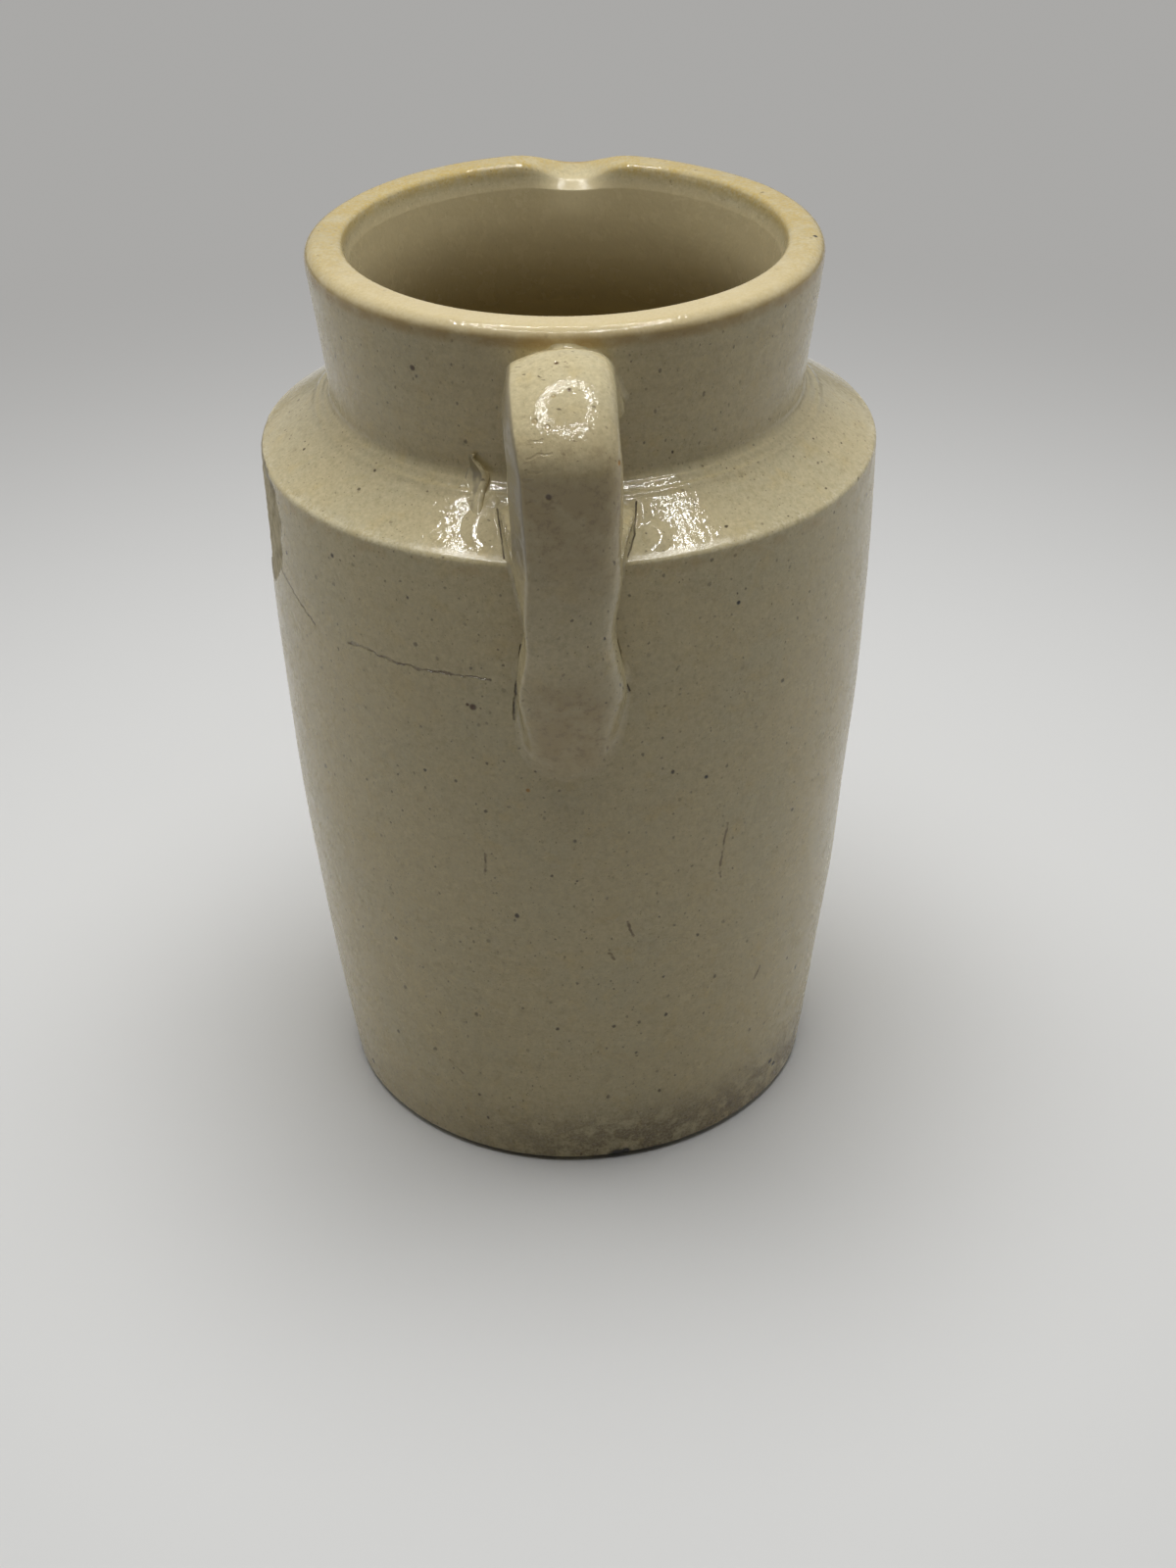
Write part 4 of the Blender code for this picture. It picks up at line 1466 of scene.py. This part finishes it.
def photo_camera():
    """The camera that took the photo, as far as the jug's outlines tell."""
    data = bpy.data.cameras.new("photo_camera")
    data.sensor_fit = "VERTICAL"
    data.sensor_height = FILM
    data.lens = FOCAL_PIXELS / PICTURE_PIXELS * FILM
    data.clip_start = 0.01
    camera = bpy.data.objects.new("photo_camera", data)
    bpy.context.scene.collection.objects.link(camera)
    forward = Vector((0, math.cos(CAMERA_PITCH), -math.sin(CAMERA_PITCH)))
    level_up = Vector((0, math.sin(CAMERA_PITCH), math.cos(CAMERA_PITCH)))
    level_right = Vector((1, 0, 0))
    right = level_right * math.cos(CAMERA_ROLL) + level_up * math.sin(CAMERA_ROLL)
    up = level_up * math.cos(CAMERA_ROLL) - level_right * math.sin(CAMERA_ROLL)
    turn = Matrix((right, up, -forward)).transposed()
    camera.matrix_world = Matrix.Translation(CAMERA_PLACE) @ turn.to_4x4()
    bpy.context.scene.camera = camera


def seen_or_mirrored(tree, hidden, shown):
    """One value where the camera or a reflection looks, another where light only bounces."""
    path = put(tree, "LightPath").outputs
    most = calc(tree, "MAXIMUM", path["Is Camera Ray"], path["Is Glossy Ray"])
    return put(tree, "MapRange", {"Value": most, "To Min": hidden, "To Max": shown}).outputs["Result"]


def paper():
    """Pale paper that throws little light back up and runs out into the air far behind."""
    material = bpy.data.materials.new("pale_paper")
    material.use_nodes = True
    tree = material.node_tree
    shader = tree.nodes["Principled BSDF"]
    shader.inputs["Roughness"].default_value = PAPER_ROUGH
    share = {}
    for name, bounce in zip(("Red", "Green", "Blue"), PAPER_BOUNCE):
        share[name] = seen_or_mirrored(tree, bounce, 1.0)
    thrown = put(tree, "CombineColor", share).outputs["Color"]
    tree.links.new(tint(tree, 1.0, (*PAPER, 1), thrown, "MULTIPLY"), shader.inputs["Base Color"])
    away = vector_calc(tree, "LENGTH", put(tree, "TexCoord").outputs["Object"])
    fade = masked(tree, put(tree, "LightPath").outputs["Is Camera Ray"], (away, PAPER_END))
    glow = put(tree, "Emission", {"Color": (*AIR, 1)}).outputs["Emission"]
    mixed = put(tree, "MixShader", {0: fade, 1: shader.outputs["BSDF"], 2: glow})
    tree.links.new(mixed.outputs[0], tree.nodes["Material Output"].inputs["Surface"])
    return material


def soft_lamp(name, place, aim, power):
    """A round soft lamp that no reflection shows."""
    data = bpy.data.lights.new(name, "AREA")
    data.shape = "DISK"
    data.size = LAMP_SIZE
    data.energy = power
    lamp = bpy.data.objects.new(name, data)
    lamp.location = place
    lamp.rotation_euler = (Vector(aim) - Vector(place)).to_track_quat("-Z", "Y").to_euler()
    lamp.visible_glossy = False
    bpy.context.scene.collection.objects.link(lamp)


def ring_lamp():
    """A thin ring overhead that only the glaze's reflections show."""
    deselect()
    bpy.ops.mesh.primitive_torus_add(
        location=RING_PLACE,
        major_radius=RING_RADIUS,
        minor_radius=RING_TUBE,
        major_segments=64,
        minor_segments=12,
    )
    ring = bpy.context.object
    ring.name = "ring_lamp"
    glow = bpy.data.materials.new("ring_glow")
    glow.use_nodes = True
    tree = glow.node_tree
    tree.nodes.clear()
    light = put(tree, "Emission", {"Strength": RING_GLOW})
    put(tree, "OutputMaterial", {"Surface": light.outputs["Emission"]})
    ring.data.materials.append(glow)
    ring.visible_camera = False
    ring.visible_diffuse = False
    ring.visible_shadow = False


def studio():
    """A pale floor, soft lamps above and beside, the ring and the air about them."""
    deselect()
    bpy.ops.mesh.primitive_plane_add(size=PAPER_SIZE, location=(0, 0, 0))
    floor = bpy.context.object
    floor.name = "studio_floor"
    floor.data.materials.append(paper())
    soft_lamp("overhead_lamp", KEY_PLACE, KEY_AIM, KEY_POWER)
    across, behind, above = SIDE_PLACE
    for side in (-1, 1):
        soft_lamp("side_lamp", (side * across, behind, above), SIDE_AIM, SIDE_POWER)
    ring_lamp()
    world = bpy.data.worlds.new("studio_air")
    bpy.context.scene.world = world
    world.use_nodes = True
    air = world.node_tree
    back = air.nodes["Background"]
    back.inputs["Color"].default_value = (*AIR, 1)
    air.links.new(seen_or_mirrored(air, AIR_BOUNCE, 1.0), back.inputs["Strength"])
    bpy.context.scene.view_settings.view_transform = "Standard"


def settle(piece, node, material):
    piece.data.materials.clear()
    piece.data.materials.append(material)
    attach(piece, "root")
    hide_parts(node)


photo_camera()
studio()
body = make_body()
strap = make_strap()
neck_slip, shoulder_slip, terminal_slip = make_slips(body, strap)
settle(body, "thrown_body", body_glaze())
burr = make_burr()
# The handle's pieces, each with the waves and the peel of its glaze in millimetres, its spots and drags
HANDLE_PIECES = (
    (strap, "strap_handle", "strap_glaze", 0.05, 0.02, STRAP_SPOTS, STRAP_DRAGS),
    (neck_slip, "neck_luting_slip", "neck_slip", 0.05, 0.014, ()),
    (shoulder_slip, "shoulder_luting_slip", "shoulder_slip", 0.03, 0.016, ()),
    (terminal_slip, "terminal_luting_slip", "terminal_slip", 0.05, 0.012, TERMINAL_SPOTS),
    (burr, "slip_burr", "burr_slip", 0.03, 0.012, ()),
)
for piece, node, slot, *finish in HANDLE_PIECES:
    settle(piece, node, handle_glaze(slot, *finish))
